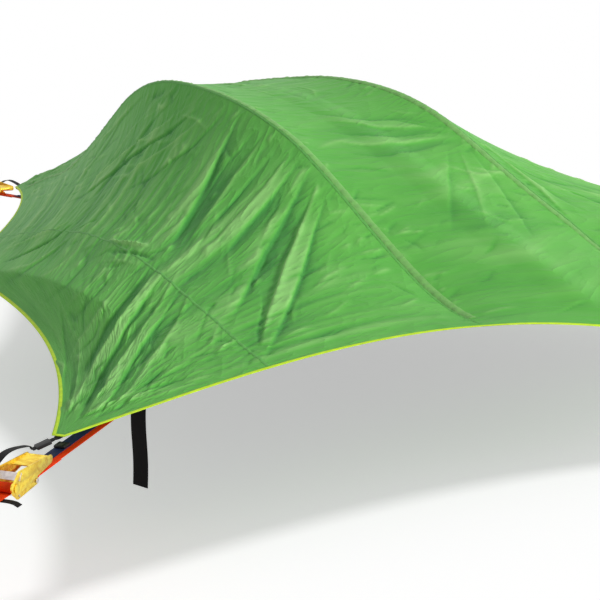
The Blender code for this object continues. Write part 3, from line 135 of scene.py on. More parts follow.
KEEPER_SIZE = (0.036, 0.034, 0.0080)
HANG_PLACE = -0.520
HANG_LENGTH = 0.278
HANG_SWAY = 0.005

UP = Vector((0.0, 0.0, 1.0))
SIDEWAYS = (0.0, 1.0, 0.0)
WHITE = (1.0, 1.0, 1.0, 1.0)
TINY = 1e-12
FAR = 1e9

# Creases: how many are drawn at random, the width of a broad one and the length of a long one, the
# height that takes a raised crease's painted highlight to its palest and a sunk one's painted shade to
# its deepest, and the right edge of the left hump
CRINKLES_PER_TIP = 230
PUCKERS_PER_SEAM = 60
BROAD_CREASE = 0.018
LONG_CREASE = 0.40
CREASE_TONE_RANGE = 0.014
LEFT_HUMP_EDGE = -0.45

# Creases seen in the photograph, as places on the fly's plan: width, height, then the line.
# Raised ones are positive and sunk ones negative.
CREASES = (
    (0.016, -0.005, ((-0.29, 0.808), (-0.321, 0.999), (-0.468, 1.01), (-0.694, 0.883))),
    (0.014, 0.005, ((-0.315, 0.676), (-0.423, 0.781), (-0.593, 0.754), (-0.866, 0.559))),
    (0.016, -0.006, ((-0.327, 0.559), (-0.438, 0.619), (-0.619, 0.608), (-0.843, 0.489))),
    (0.016, -0.009, ((-0.37, 0.345), (-0.504, 0.427), (-0.59, 0.58),
                    (-0.717, 0.642), (-0.751, 0.758))),
    (0.014, 0.006, ((-0.358, 0.418), (-0.466, 0.513), (-0.538, 0.675),
                    (-0.646, 0.762), (-0.67, 0.89))),
    (0.014, 0.006, ((-0.379, 0.275), (-0.538, 0.316), (-0.643, 0.403), (-0.779, 0.481))),
    (0.016, -0.006, ((-0.365, 0.206), (-0.557, 0.183), (-0.718, 0.233), (-0.802, 0.324))),
    (0.014, -0.004, ((-0.299, 0.955), (-0.345, 1.08), (-0.462, 1.08), (-0.588, 1.06))),
    (0.012, 0.004, ((-0.261, 1.08), (-0.267, 1.26), (-0.391, 1.24), (-0.497, 1.24))),
    (0.016, 0.009, ((-0.918, 0.438), (-1.01, 0.443), (-1.04, 0.572), (-1.11, 0.662))),
    (0.02, -0.016, ((-0.963, 0.37), (-1.07, 0.346), (-1.16, 0.386), (-1.24, 0.457))),
    (0.016, 0.006, ((-1.04, 0.232), (-1.16, 0.211), (-1.28, 0.194), (-1.33, 0.303))),
    (0.014, -0.005, ((-1.09, 0.219), (-1.22, 0.183), (-1.34, 0.152), (-1.35, 0.274))),
    (0.034, -0.014, ((-0.365, 0.132), (-0.536, 0.026), (-0.714, -0.101),
                    (-0.908, -0.233), (-1.07, -0.354))),
    (0.01, -0.006, ((-0.368, -0.003), (-0.595, -0.066), (-0.845, -0.196), (-1.04, -0.324))),
    (0.014, 0.008, ((-0.376, -0.06), (-0.608, -0.147), (-0.867, -0.282), (-1.07, -0.41))),
    (0.01, -0.007, ((-0.391, -0.153), (-0.607, -0.227), (-0.838, -0.319), (-1.07, -0.468))),
    (0.016, 0.009, ((-0.397, -0.217), (-0.607, -0.307), (-0.826, -0.389), (-1.03, -0.481))),
    (0.016, -0.01, ((-0.406, -0.273), (-0.618, -0.364), (-0.824, -0.452), (-1.01, -0.552))),
    (0.028, -0.014, ((-0.429, -0.34), (-0.609, -0.453), (-0.845, -0.602),
                    (-1.09, -0.787), (-1.21, -0.877))),
    (0.02, 0.013, ((-0.44, -0.407), (-0.626, -0.538), (-0.845, -0.702),
                    (-1.11, -0.932), (-1.27, -1.09))),
    (0.02, -0.012, ((-0.456, -0.469), (-0.626, -0.601), (-0.841, -0.785),
                    (-1.11, -1), (-1.29, -1.14))),
    (0.007, -0.005, ((-0.85, -0.667), (-0.938, -0.701), (-1.01, -0.73))),
    (0.007, 0.005, ((-0.89, -0.683), (-0.969, -0.716), (-1.03, -0.763))),
    (0.014, 0.011, ((-1.12, -0.397), (-1.29, -0.507), (-1.44, -0.608),
                    (-1.63, -0.751), (-1.85, -0.967))),
    (0.011, -0.01, ((-1.12, -0.44), (-1.28, -0.542), (-1.45, -0.661),
                    (-1.68, -0.856), (-1.97, -1.14))),
    (0.012, 0.009, ((-1.12, -0.488), (-1.3, -0.625), (-1.49, -0.761),
                    (-1.72, -0.938), (-1.94, -1.13))),
    (0.011, -0.01, ((-1.16, -0.567), (-1.32, -0.688), (-1.51, -0.82),
                    (-1.77, -1.04), (-1.94, -1.18))),
    (0.014, 0.007, ((-1.17, -0.621), (-1.37, -0.793), (-1.57, -0.935), (-1.78, -1.1))),
    (0.014, -0.007, ((-1.13, -0.364), (-1.33, -0.492), (-1.5, -0.602), (-1.72, -0.801))),
    (0.008, -0.004, ((-1.19, -0.751), (-1.29, -0.84), (-1.4, -0.941))),
    (0.008, 0.003, ((-1.22, -0.839), (-1.33, -0.943), (-1.42, -1.03))),
    (0.008, -0.004, ((-0.998, -0.773), (-1.08, -0.877), (-1.19, -0.983), (-1.27, -1.1))),
    (0.01, 0.004, ((-1.21, -0.215), (-1.39, -0.318), (-1.47, -0.292))),
    (0.01, -0.005, ((-1.22, -0.28), (-1.39, -0.385), (-1.51, -0.421))),
    (0.01, 0.004, ((-1.24, -0.357), (-1.41, -0.469), (-1.57, -0.562), (-1.7, -0.68))),
    (0.01, -0.004, ((-1.21, -0.087), (-1.38, -0.2), (-1.44, -0.13))),
    (0.01, 0.004, ((-1.17, 0.04), (-1.33, -0.014), (-1.4, 0.034))),
    (0.009, -0.004, ((-1.42, -0.226), (-1.53, -0.407), (-1.68, -0.653), (-1.83, -0.868))),
    (0.009, 0.004, ((-1.53, -0.501), (-1.64, -0.67), (-1.81, -0.901), (-1.97, -1.1))),
    (0.009, -0.004, ((-1.56, -0.626), (-1.71, -0.825), (-1.88, -1.02))),
    (0.022, 0.015, ((-1.1, -0.048), (-1.1, -0.136), (-1.09, -0.197), (-1.08, -0.267))),
    (0.012, -0.01, ((-1.15, -0.132), (-1.14, -0.222), (-1.13, -0.292), (-1.13, -0.368))),
    (0.008, -0.004, ((-1.16, -0.29), (-1.22, -0.268), (-1.25, -0.197))),
    (0.008, 0.004, ((-1.22, -0.138), (-1.19, -0.245), (-1.18, -0.349))),
    (0.008, -0.005, ((-1.75, -1.09), (-1.66, -1.09), (-1.57, -1.1), (-1.49, -1.1))),
    (0.008, 0.004, ((-1.8, -1.12), (-1.69, -1.12), (-1.61, -1.12))),
    (0.008, -0.003, ((-1.5, -1.12), (-1.41, -1.12), (-1.31, -1.12))),
    (0.022, -0.006, ((-0.119, 0.07), (0.012, -0.074), (0.211, -0.144), (0.339, -0.27))),
    (0.016, 0.006, ((-0.109, -0.025), (0.045, -0.152), (0.242, -0.224), (0.338, -0.293))),
    (0.016, -0.006, ((-0.166, -0.114), (0, -0.23), (0.232, -0.263), (0.35, -0.309))),
    (0.018, 0.006, ((-0.209, -0.186), (-0.031, -0.292), (0.209, -0.303), (0.349, -0.332))),
    (0.02, -0.005, ((-0.199, -0.282), (-0.038, -0.364), (0.195, -0.34), (0.339, -0.347))),
    (0.012, -0.008, ((0.378, -0.335), (0.398, -0.507), (0.428, -0.678), (0.439, -0.831))),
    (0.014, 0.007, ((0.428, -0.27), (0.463, -0.445), (0.482, -0.639), (0.454, -0.853))),
    (0.02, -0.004, ((0.346, -0.373), (0.293, -0.586), (0.211, -0.787), (0.131, -0.936))),
    (0.022, 0.004, ((0.304, -0.371), (0.149, -0.622), (-0.04, -0.866))),
    (0.026, -0.004, ((0.262, -0.359), (0.014, -0.62), (-0.168, -0.814))),
    (0.02, -0.005, ((0.429, -0.358), (0.485, -0.504), (0.531, -0.672), (0.59, -0.774))),
    (0.008, -0.009, ((-0.512, -0.69), (-0.438, -0.691), (-0.391, -0.702))),
    (0.007, 0.005, ((-0.398, -0.709), (-0.298, -0.736), (-0.199, -0.775))),
    (0.007, -0.006, ((-0.362, -0.609), (-0.296, -0.594), (-0.223, -0.584))),
    (0.007, 0.005, ((-0.363, -0.631), (-0.293, -0.618), (-0.232, -0.604))),
    (0.008, -0.006, ((-0.619, -0.779), (-0.515, -0.791), (-0.412, -0.781), (-0.342, -0.783))),
    (0.008, 0.005, ((-0.589, -0.756), (-0.485, -0.763), (-0.377, -0.759))),
    (0.008, -0.005, ((-0.575, -0.91), (-0.547, -0.974), (-0.528, -1.02))),
    (0.008, 0.004, ((-0.473, -0.616), (-0.4, -0.619), (-0.327, -0.612))),
    (0.007, -0.005, ((-0.406, -0.959), (-0.356, -0.951))),
    (0.01, -0.004, ((-0.343, -0.362), (-0.215, -0.382), (-0.108, -0.44))),
    (0.01, -0.004, ((-0.433, -0.491), (-0.34, -0.531), (-0.222, -0.572))),
    (0.009, 0.004, ((-0.45, -0.527), (-0.355, -0.569), (-0.258, -0.601))),
    (0.009, 0.004, ((-0.419, -0.763), (-0.403, -0.807), (-0.4, -0.854))),
    (0.009, -0.004, ((-0.353, -0.743), (-0.323, -0.788), (-0.323, -0.838))),
    (0.008, -0.005, ((-0.504, -1.24), (-0.42, -1.24), (-0.343, -1.26), (-0.256, -1.27))),
    (0.008, 0.004, ((-0.444, -1.2), (-0.337, -1.21), (-0.263, -1.23))),
    (0.009, -0.006, ((-0.255, -1.35), (-0.165, -1.32), (-0.082, -1.31), (-0.012, -1.32))),
    (0.009, 0.005, ((-0.21, -1.33), (-0.116, -1.31), (-0.024, -1.3))),
    (0.007, -0.004, ((-0.119, -1.39), (-0.077, -1.39), (-0.036, -1.38))),
)


def hex_colour(code):
    """Turn a written sRGB colour into the linear one that a shader takes."""
    parts = [int(code.lstrip("#")[k:k + 2], 16) / 255.0 for k in (0, 2, 4)]
    return (*[p / 12.92 if p <= 0.04045 else ((p + 0.055) / 1.055) ** 2.4 for p in parts], 1.0)


def darker(code, share):
    """A written colour, linear and brought down to a share of its light."""
    return (*(Vector(hex_colour(code)[:3]) * share), 1.0)


def settings():
    """The add-on's four groups of sizes and colours."""
    scene = bpy.context.scene
    return scene.tree_tent_cloth, scene.tree_tent_webbing, scene.tree_tent_metal, scene.tree_tent_stage


# Materials

# Bands of a wave texture are pi / 10 / scale apart, and patches of noise about 1 / scale.
# Taffeta threads really are 0.15 mm apart, webbing ribs 1.1 mm and net holes 1 mm, but they are
# drawn at 1.6, 2.2 and 2.4 mm so that they show. The edge tape's ribs have their real 1 mm.
TAFFETA_SCALE = 196.0
TAPE_RIB_SCALE = 310.0
NET_SCALE = 420.0
RIB_PITCH = 0.0022
YARN_PITCH = 0.0016
RIB_SLANT = 0.7
STITCH_PITCH = 0.0042
STITCH_SHARE = 0.68
THREAD_HALF_WIDTH = 0.00055
MOULDED_GRAIN = 900.0


def set_inputs(tree, node, inputs):
    """Fill a node's inputs: each is a value, or a node and the name of its output to link."""
    for key, value in inputs.items():
        if isinstance(value, tuple) and isinstance(value[0], bpy.types.Node):
            tree.links.new(value[0].outputs[value[1]], node.inputs[key])
        else:
            node.inputs[key].default_value = value


def add_node(tree, kind, inputs=None, stops=(), **values):
    """Add one node with its settings and inputs; a colour ramp's two stops are given as places
    with their linear colours."""
    node = tree.nodes.new(kind)
    for key, value in values.items():
        setattr(node, key, value)
    set_inputs(tree, node, inputs or {})
    for k, (place, colour) in enumerate(stops):
        node.color_ramp.elements[k].position = place
        node.color_ramp.elements[k].color = colour
    return node


def start_material(name, roughness, metallic=0.0):
    """A new material with its node tree and its shader."""
    material = bpy.data.materials.new(name)
    material.use_nodes = True
    tree = material.node_tree
    shader = tree.nodes["Principled BSDF"]
    set_inputs(tree, shader, {"Roughness": roughness, "Metallic": metallic})
    return material, tree, shader


def fly_cloth():
    """Coated woven polyester taffeta: plain weave under a thin coat, so a soft broad sheen, fine
    pulled creases, and a colour that drifts a little where the coat is thicker. Raised creases get a
    painted highlight and sunk ones painted shade."""
    cloth = settings()[0]
    material, tree, shader = start_material("fly_coated_polyester_taffeta_green", 0.52)
    place = add_node(tree, "ShaderNodeTexCoord")
    # Pulls about 380 mm long and 65 mm apart, then short sharp ones, 140 mm and 40 mm
    along = add_node(tree, "ShaderNodeMapping", {"Vector": (place, "UV"), "Scale": (2.6, 15.0, 1.0)})
    pulled = add_node(tree, "ShaderNodeTexNoise", {
        "Vector": (along, "Vector"), "Scale": 1.0, "Detail": 4.0, "Roughness": 0.55,
        "Distortion": 0.6})
    short = add_node(tree, "ShaderNodeMapping", {
        "Vector": (place, "UV"), "Scale": (7.0, 24.0, 1.0), "Rotation": (0.0, 0.0, 0.25)})
    sharp = add_node(tree, "ShaderNodeTexNoise", {
        "Vector": (short, "Vector"), "Scale": 1.0, "Detail": 3.0, "Roughness": 0.6,
        "Offset": 0.85, "Gain": 1.3}, noise_type="RIDGED_MULTIFRACTAL")
    # The coat's tone drifts over patches of about 0.7 m
    drift = add_node(tree, "ShaderNodeTexNoise", {
        "Vector": (place, "Object"), "Scale": 1.4, "Detail": 5.0, "Roughness": 0.6})
    warp, weft = [add_node(tree, "ShaderNodeTexWave", {
        "Vector": (place, "Object"), "Scale": TAFFETA_SCALE}, bands_direction=way) for way in "XY"]
    weave = add_node(tree, "ShaderNodeMath", {0: (warp, "Fac"), 1: (weft, "Fac")},
                     operation="MULTIPLY")
    tone = add_node(tree, "ShaderNodeValToRGB", {"Fac": (drift, "Fac")}, (
        (0.30, hex_colour(cloth.fly_shade)), (0.72, hex_colour(cloth.fly_colour))))
    # Painted highlight: where the pulls stand up, their green is painted paler
    pull_highlight_share = add_node(tree, "ShaderNodeMapRange", {
        "Value": (pulled, "Fac"), "From Min": 0.45, "From Max": 0.8, "To Max": 0.22})
    pull_highlit_green = add_node(tree, "ShaderNodeMix", {
        0: (pull_highlight_share, "Result"), 6: (tone, "Color"), 7: hex_colour(cloth.fly_crease_highlight)}, data_type="RGBA")
    # Painted highlight where a crease stands up, and painted shade where it sinks
    crease = add_node(tree, "ShaderNodeAttribute", attribute_name="crease")
    raised = add_node(tree, "ShaderNodeMapRange", {
        "Value": (crease, "Fac"), "From Min": 0.52, "From Max": 0.88, "To Max": 0.85})
    sunk = add_node(tree, "ShaderNodeMapRange", {
        "Value": (crease, "Fac"), "From Min": 0.48, "From Max": 0.05, "To Max": 0.85})
    pale = add_node(tree, "ShaderNodeMix", {
        0: (raised, "Result"), 6: (pull_highlit_green, 2), 7: hex_colour(cloth.fly_crease_highlight)}, data_type="RGBA")
    deep = add_node(tree, "ShaderNodeMix", {
        0: (sunk, "Result"), 6: (pale, 2), 7: hex_colour(cloth.fly_crease_shade)}, data_type="RGBA")
    rough = add_node(tree, "ShaderNodeMapRange", {
        "Value": (drift, "Fac"), "To Min": 0.46, "To Max": 0.60})
    first = add_node(tree, "ShaderNodeBump", {
        "Height": (pulled, "Fac"), "Strength": 0.28, "Distance": 0.012})
    second = add_node(tree, "ShaderNodeBump", {
        "Height": (sharp, "Fac"), "Strength": 0.50, "Distance": 0.005, "Normal": (first, "Normal")})
    third = add_node(tree, "ShaderNodeBump", {
        "Height": (weave, "Value"), "Strength": 0.12, "Distance": 0.0004,
        "Normal": (second, "Normal")})
    set_inputs(tree, shader, {
        "Base Color": (deep, 2), "Roughness": (rough, "Result"), "Normal": (third, "Normal"),
        "Specular IOR Level": 0.15, "Sheen Weight": 0.04})
    return material


def stitch_mask(tree, place, rows):
    """1 on the thread of straight stitches, whose rows lie across the tape, in metres."""
    split = add_node(tree, "ShaderNodeSeparateXYZ", {"Vector": (place, "UV")})
    turn = add_node(tree, "ShaderNodeMath", {0: (split, "Y"), 1: 1.0 / STITCH_PITCH},
                    operation="MULTIPLY")
    part = add_node(tree, "ShaderNodeMath", {0: (turn, "Value")}, operation="FRACT")
    dash = add_node(tree, "ShaderNodeMath", {0: (part, "Value"), 1: STITCH_SHARE},
                    operation="LESS_THAN")
    threads = [add_node(tree, "ShaderNodeMath", {0: (split, "X"), 1: row, 2: THREAD_HALF_WIDTH},
                        operation="COMPARE") for row in rows]
    total = threads[0]
    for thread in threads[1:]:
        total = add_node(tree, "ShaderNodeMath", {0: (total, "Value"), 1: (thread, "Value")},
                         operation="MAXIMUM")
    return add_node(tree, "ShaderNodeMath", {0: (total, "Value"), 1: (dash, "Value")},
                    operation="MULTIPLY")


def sewn_tape(name, colour, thread, rows, roughness):
    """Narrow woven tape sewn down with straight stitches: cross ribs, sunk thread, matt."""
    material, tree, shader = start_material(name, roughness)
    place = add_node(tree, "ShaderNodeTexCoord")
    mask = stitch_mask(tree, place, rows)
    rib = add_node(tree, "ShaderNodeTexWave", {
        "Vector": (place, "UV"), "Scale": TAPE_RIB_SCALE, "Distortion": 0.4}, bands_direction="Y")
    # Yarn tone drifts over 25 mm
    noise = add_node(tree, "ShaderNodeTexNoise", {
        "Vector": (place, "Object"), "Scale": 40.0, "Detail": 3.0})
    tone = add_node(tree, "ShaderNodeValToRGB", {"Fac": (noise, "Fac")}, (
        (0.3, darker(colour, 0.82)), (0.7, hex_colour(colour))))
    mix = add_node(tree, "ShaderNodeMix", {
        0: (mask, "Value"), 6: (tone, "Color"), 7: hex_colour(thread)}, data_type="RGBA")
    ribbed = add_node(tree, "ShaderNodeBump", {
        "Height": (rib, "Fac"), "Strength": 0.25, "Distance": 0.0004})
    sunk = add_node(tree, "ShaderNodeBump", {
        "Height": (mask, "Value"), "Strength": 0.5, "Distance": 0.0006,
        "Normal": (ribbed, "Normal")}, invert=True)
    set_inputs(tree, shader, {"Base Color": (mix, 2), "Normal": (sunk, "Normal")})
    return material


@cache
def webbing_cloth(name, colour, dark):
    """Flat woven polyester webbing: slanted ribs that meet in a point down the middle, tight
    selvedges, painted shade down between the ribs, and a little fuzz where it has rubbed. Straps of
    one cloth share it."""
    material, tree, shader = start_material(name, 0.62)
    place = add_node(tree, "ShaderNodeTexCoord")
    split = add_node(tree, "ShaderNodeSeparateXYZ", {"Vector": (place, "UV")})
    fold = add_node(tree, "ShaderNodeMath", {0: (split, "X")}, operation="ABSOLUTE")
    slant = add_node(tree, "ShaderNodeMath", {0: (fold, "Value"), 1: RIB_SLANT, 2: (split, "Y")},
                     operation="MULTIPLY_ADD")
    turn = add_node(tree, "ShaderNodeMath", {0: (slant, "Value"), 1: 2.0 * math.pi / RIB_PITCH},
                    operation="MULTIPLY")
    rib = add_node(tree, "ShaderNodeMath", {0: (turn, "Value")}, operation="SINE")
    yarns = add_node(tree, "ShaderNodeMath", {0: (split, "X"), 1: 2.0 * math.pi / YARN_PITCH},
                     operation="MULTIPLY")
    yarn = add_node(tree, "ShaderNodeMath", {0: (yarns, "Value")}, operation="COSINE")
    height = add_node(tree, "ShaderNodeMath", {0: (yarn, "Value"), 1: 0.45, 2: (rib, "Value")},
                      operation="MULTIPLY_ADD")
    scaled = add_node(tree, "ShaderNodeMapRange", {
        "Value": (height, "Value"), "From Min": -1.45, "From Max": 1.45})
    # Fuzz in patches of 17 mm
    fuzz = add_node(tree, "ShaderNodeTexNoise", {
        "Vector": (place, "Object"), "Scale": 60.0, "Detail": 4.0, "Roughness": 0.65})
    both = add_node(tree, "ShaderNodeMath", {0: (fuzz, "Fac"), 1: 0.5, 2: (scaled, "Result")},
                    operation="MULTIPLY_ADD")
    # Painted shade: the colour runs from the dark one down between the ribs to the full one on their
    # tops, with the fuzz patches laid over that
    tone = add_node(tree, "ShaderNodeValToRGB", {"Fac": (both, "Value")}, (
        (0.30, hex_colour(dark)), (0.95, hex_colour(colour))))
    bump = add_node(tree, "ShaderNodeBump", {
        "Height": (scaled, "Result"), "Strength": 0.45, "Distance": 0.0005})
    set_inputs(tree, shader, {"Base Color": (tone, "Color"), "Normal": (bump, "Normal"),
                              "Specular IOR Level": 0.12})
    return material


def floor_weave(name, colour, dark, square, roughness=0.7):
    """Woven cloth on Object coordinates: a plain weave with a thicker thread every few
    millimetres, which gives the squares of a ripstop."""
    material, tree, shader = start_material(name, roughness)
    place = add_node(tree, "ShaderNodeTexCoord")
    across, down = [add_node(tree, "ShaderNodeTexWave", {
        "Vector": (place, "Object"), "Scale": math.pi / 10.0 / square}, bands_direction=way)
        for way in "XY"]
    lines = add_node(tree, "ShaderNodeMath", {0: (across, "Fac"), 1: (down, "Fac")},
                     operation="MAXIMUM")
    sharp = add_node(tree, "ShaderNodeMath", {0: (lines, "Value"), 1: 7.0}, operation="POWER")
    # Wear in patches of 0.3 m
    noise = add_node(tree, "ShaderNodeTexNoise", {
        "Vector": (place, "Object"), "Scale": 3.0, "Detail": 6.0, "Roughness": 0.6})
    tone = add_node(tree, "ShaderNodeValToRGB", {"Fac": (noise, "Fac")}, (
        (0.3, hex_colour(dark)), (0.7, hex_colour(colour))))
    soft = add_node(tree, "ShaderNodeBump", {
        "Height": (noise, "Fac"), "Strength": 0.35, "Distance": 0.012})
    grid = add_node(tree, "ShaderNodeBump", {
        "Height": (sharp, "Value"), "Strength": 0.35, "Distance": 0.0005,
        "Normal": (soft, "Normal")})
    set_inputs(tree, shader, {"Base Color": (tone, "Color"), "Normal": (grid, "Normal")})
    return material


def insect_mesh():
    """Knitted polyester no-see-um net: thin dark threads round open holes, so half see-through."""
    cloth = settings()[0]
    material, tree, shader = start_material("canopy_insect_net_black", 0.75)
    place = add_node(tree, "ShaderNodeTexCoord")
    cells = add_node(tree, "ShaderNodeTexVoronoi", {
        "Vector": (place, "Object"), "Scale": NET_SCALE, "Randomness": 0.12},
        feature="DISTANCE_TO_EDGE")
    thread = add_node(tree, "ShaderNodeMath", {0: (cells, "Distance"), 1: 0.17},
                      operation="LESS_THAN")
    # Dye drifts over 0.2 m
    noise = add_node(tree, "ShaderNodeTexNoise", {"Vector": (place, "Object"), "Scale": 5.0})
    tone = add_node(tree, "ShaderNodeValToRGB", {"Fac": (noise, "Fac")}, (
        (0.3, darker(cloth.canopy_colour, 0.7)), (0.7, hex_colour(cloth.canopy_colour))))
    bump = add_node(tree, "ShaderNodeBump", {
        "Height": (cells, "Distance"), "Strength": 0.3, "Distance": 0.0004}, invert=True)
    set_inputs(tree, shader, {"Base Color": (tone, "Color"), "Alpha": (thread, "Value"),
                              "Normal": (bump, "Normal")})
    return material


def plated_steel(name, colour, second, roughness):
    """Pressed steel plate, zinc plated: fine drawn grain, a passivate film whose tint drifts,
    and dull spots where it is handled."""
    material, tree, shader = start_material(name, roughness, 1.0)
    place = add_node(tree, "ShaderNodeTexCoord")
    # The film drifts over 26 mm, and the spots are about 6 mm
    film = add_node(tree, "ShaderNodeTexNoise", {
        "Vector": (place, "Object"), "Scale": 38.0, "Detail": 4.0, "Distortion": 1.2})
    tone = add_node(tree, "ShaderNodeValToRGB", {"Fac": (film, "Fac")}, (
        (0.32, hex_colour(second)), (0.62, hex_colour(colour))))
    spots = add_node(tree, "ShaderNodeTexNoise", {
        "Vector": (place, "Object"), "Scale": 160.0, "Detail": 5.0, "Roughness": 0.7})
    rough = add_node(tree, "ShaderNodeMapRange", {
        "Value": (spots, "Fac"), "From Min": 0.3, "From Max": 0.7, "To Min": roughness - 0.08,
        "To Max": roughness + 0.14})
    bump = add_node(tree, "ShaderNodeBump", {
        "Height": (spots, "Fac"), "Strength": 0.10, "Distance": 0.0004})
    set_inputs(tree, shader, {"Base Color": (tone, "Color"), "Roughness": (rough, "Result"),
                              "Normal": (bump, "Normal")})
    return material


def moulded_plastic(name, colour, grain, roughness=0.45):
    """Moulded nylon or POM: an even colour with a fine spark-eroded grain, whose pits are
    1 / grain metres."""
    material, tree, shader = start_material(name, roughness)
    place = add_node(tree, "ShaderNodeTexCoord")
    noise = add_node(tree, "ShaderNodeTexNoise", {
        "Vector": (place, "Object"), "Scale": grain, "Detail": 3.0})
    tone = add_node(tree, "ShaderNodeValToRGB", {"Fac": (noise, "Fac")}, (
        (0.35, darker(colour, 0.75)), (0.65, hex_colour(colour))))
    bump = add_node(tree, "ShaderNodeBump", {
        "Height": (noise, "Fac"), "Strength": 0.15, "Distance": 0.0003})
    set_inputs(tree, shader, {"Base Color": (tone, "Color"), "Normal": (bump, "Normal"),
                              "Specular IOR Level": 0.3})
    return material


def anodised_tube():
    """Drawn aluminium pole, clear anodised: satin, with faint draw lines along it, 1 to 17 mm
    apart and 250 mm long."""
    metal = settings()[2]
    material, tree, shader = start_material("pole_anodised_aluminium", 0.32, 1.0)
    place = add_node(tree, "ShaderNodeTexCoord")
    drawn = add_node(tree, "ShaderNodeMapping", {
        "Vector": (place, "Object"), "Scale": (900.0, 4.0, 60.0)})
    noise = add_node(tree, "ShaderNodeTexNoise", {
        "Vector": (drawn, "Vector"), "Scale": 1.0, "Detail": 2.0})
    tone = add_node(tree, "ShaderNodeValToRGB", {"Fac": (noise, "Fac")}, (
        (0.3, darker(metal.pole_colour, 0.8)), (0.7, hex_colour(metal.pole_colour))))
    rough = add_node(tree, "ShaderNodeMapRange", {
        "Value": (noise, "Fac"), "To Min": 0.26, "To Max": 0.42})
    set_inputs(tree, shader, {"Base Color": (tone, "Color"), "Roughness": (rough, "Result")})
    return material


# Making and joining meshes

def select_only(thing):
    bpy.ops.object.select_all(action="DESELECT")
    thing.select_set(True)
    bpy.context.view_layer.objects.active = thing


@contextmanager
def edit_mode(thing, everything=True):
    """Work on a piece's mesh in edit mode, all of it selected or what is selected already."""
    select_only(thing)
    bpy.ops.object.mode_set(mode="EDIT")
    if everything:
        bpy.ops.mesh.select_all(action="SELECT")
    yield
    bpy.ops.object.mode_set(mode="OBJECT")


def mesh_piece(name, points, faces, uv=None):
    """A mesh object at the origin from its points and faces, with its own UV map."""
    mesh = bpy.data.meshes.new(name)
    mesh.from_pydata(points, [], faces)
    mesh.update()
    if uv is not None:
        corners = np.empty(len(mesh.loops), dtype=np.int32)
        mesh.loops.foreach_get("vertex_index", corners)
        layer = mesh.uv_layers.new(name="UVMap")
        layer.data.foreach_set("uv", uv.reshape(-1, 2).astype(np.float32)[corners].ravel())
    thing = bpy.data.objects.new(name, mesh)
    bpy.context.scene.collection.objects.link(thing)
    return thing


def shade_folds(mesh, degrees):
    """Shade a mesh smooth, but for edges that fold by more than an angle."""
    mesh.shade_smooth()
    mesh.set_sharp_from_angle(angle=math.radians(degrees))


def cloth_shell(name, grid, normals, thickness, uv):
    """A closed thin shell under a grid of places, which runs left to right and front to rear."""
    nu, nv = grid.shape[:2]
    points = np.concatenate([grid.reshape(-1, 3), (grid - normals * thickness).reshape(-1, 3)])
    index = np.arange(nu * nv).reshape(nu, nv)
    a, b, c, d = index[:-1, :-1], index[1:, :-1], index[1:, 1:], index[:-1, 1:]
    shift = nu * nv
    top = np.stack([a, b, c, d], -1).reshape(-1, 4)
    low = np.stack([a, d, c, b], -1).reshape(-1, 4) + shift
    ring = np.concatenate([index[:-1, 0], index[-1, :-1], index[:0:-1, -1], index[0, :0:-1]])
    after = np.roll(ring, -1)
    wall = np.stack([ring, ring + shift, after + shift, after], -1)
    piece = mesh_piece(name, points.tolist(), np.concatenate([top, low, wall]).tolist(),
                       np.concatenate([uv, uv]))
    shade_folds(piece.data, 55.0)
    return piece


def ring_tube(name, sections, uv, closed=False):
    """A tube through rows of section points; an open one gets a face at each end."""
    count, sides = sections.shape[:2]
    index = np.arange(count * sides).reshape(count, sides)
    here = index if closed else index[:-1]
    there = np.roll(index, -1, axis=0) if closed else index[1:]
    faces = np.stack([here, np.roll(here, -1, 1), np.roll(there, -1, 1), there], -1)
    faces = faces.reshape(-1, 4).tolist()
    if not closed:
        faces += [index[0, ::-1].tolist(), index[-1].tolist()]
    piece = mesh_piece(name, sections.reshape(-1, 3).tolist(), faces, uv)
    with edit_mode(piece):
        bpy.ops.mesh.normals_make_consistent(inside=False)
    shade_folds(piece.data, 50.0)
    return piece


def copy_of(node, name, dissolve=True):
    """A merged copy of a CAD node's solid, with its flat faces or its quads made whole again."""
    piece = bpy.data.objects.new(name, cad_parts[node].data.copy())
    piece.data.name = name
    bpy.context.scene.collection.objects.link(piece)
    with edit_mode(piece):
        bpy.ops.mesh.remove_doubles(threshold=0.00002)
        if dissolve:
            bpy.ops.mesh.dissolve_limited(angle_limit=math.radians(1.0))
        else:
            bpy.ops.mesh.tris_convert_to_quads(face_threshold=math.radians(60.0),
                                               shape_threshold=math.radians(60.0))
    return piece


def apply_and_shade(thing, degrees):
    """Apply a piece's modifiers, then shade it smooth but for sharper edges."""
    select_only(thing)
    for step in list(thing.modifiers):
        bpy.ops.object.modifier_apply(modifier=step.name)
    bpy.ops.object.shade_smooth_by_angle(angle=math.radians(degrees))


def round_edges(thing, width, segments=2, angle=32.0):
    """Break the sharp edges of a rigid piece."""
    step = thing.modifiers.new("edge", "BEVEL")
    step.width = width
    step.segments = segments
    step.limit_method = "ANGLE"
    step.angle_limit = math.radians(angle)
    step.use_clamp_overlap = True
    apply_and_shade(thing, 40.0)


def soften(thing, levels, degrees):
    """Subdivide a piece into a smooth one."""
    step = thing.modifiers.new("soften", "SUBSURF")
    step.levels = levels
    step.render_levels = levels
    apply_and_shade(thing, degrees)


def stand_for(thing, material, body, slot, *nodes):
    """Finish a piece: its material, the body it rides on, and the nodes it replaces. The slot is not
    used.
    """
    thing.data.materials.clear()
    thing.data.materials.append(material)
    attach(thing, body)
    if nodes:
        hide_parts(*nodes)


# The rain fly

def unit(values):
    return np.clip(values, 0.0, 1.0)


def heading_vector(angle):
    return np.array([math.cos(angle), math.sin(angle)])


def run_lengths(points):
    """Length along a line of points, from its start to each of them."""
    return np.concatenate([[0.0], np.cumsum(np.linalg.norm(np.diff(points, axis=0), axis=1))])


def radial(degrees, radius, height=0.0):
    angle = math.radians(degrees)
    return np.array([radius * math.cos(angle), radius * math.sin(angle), height])


def across(degrees):
    angle = math.radians(degrees)
    return np.array([-math.sin(angle), math.cos(angle), 0.0])


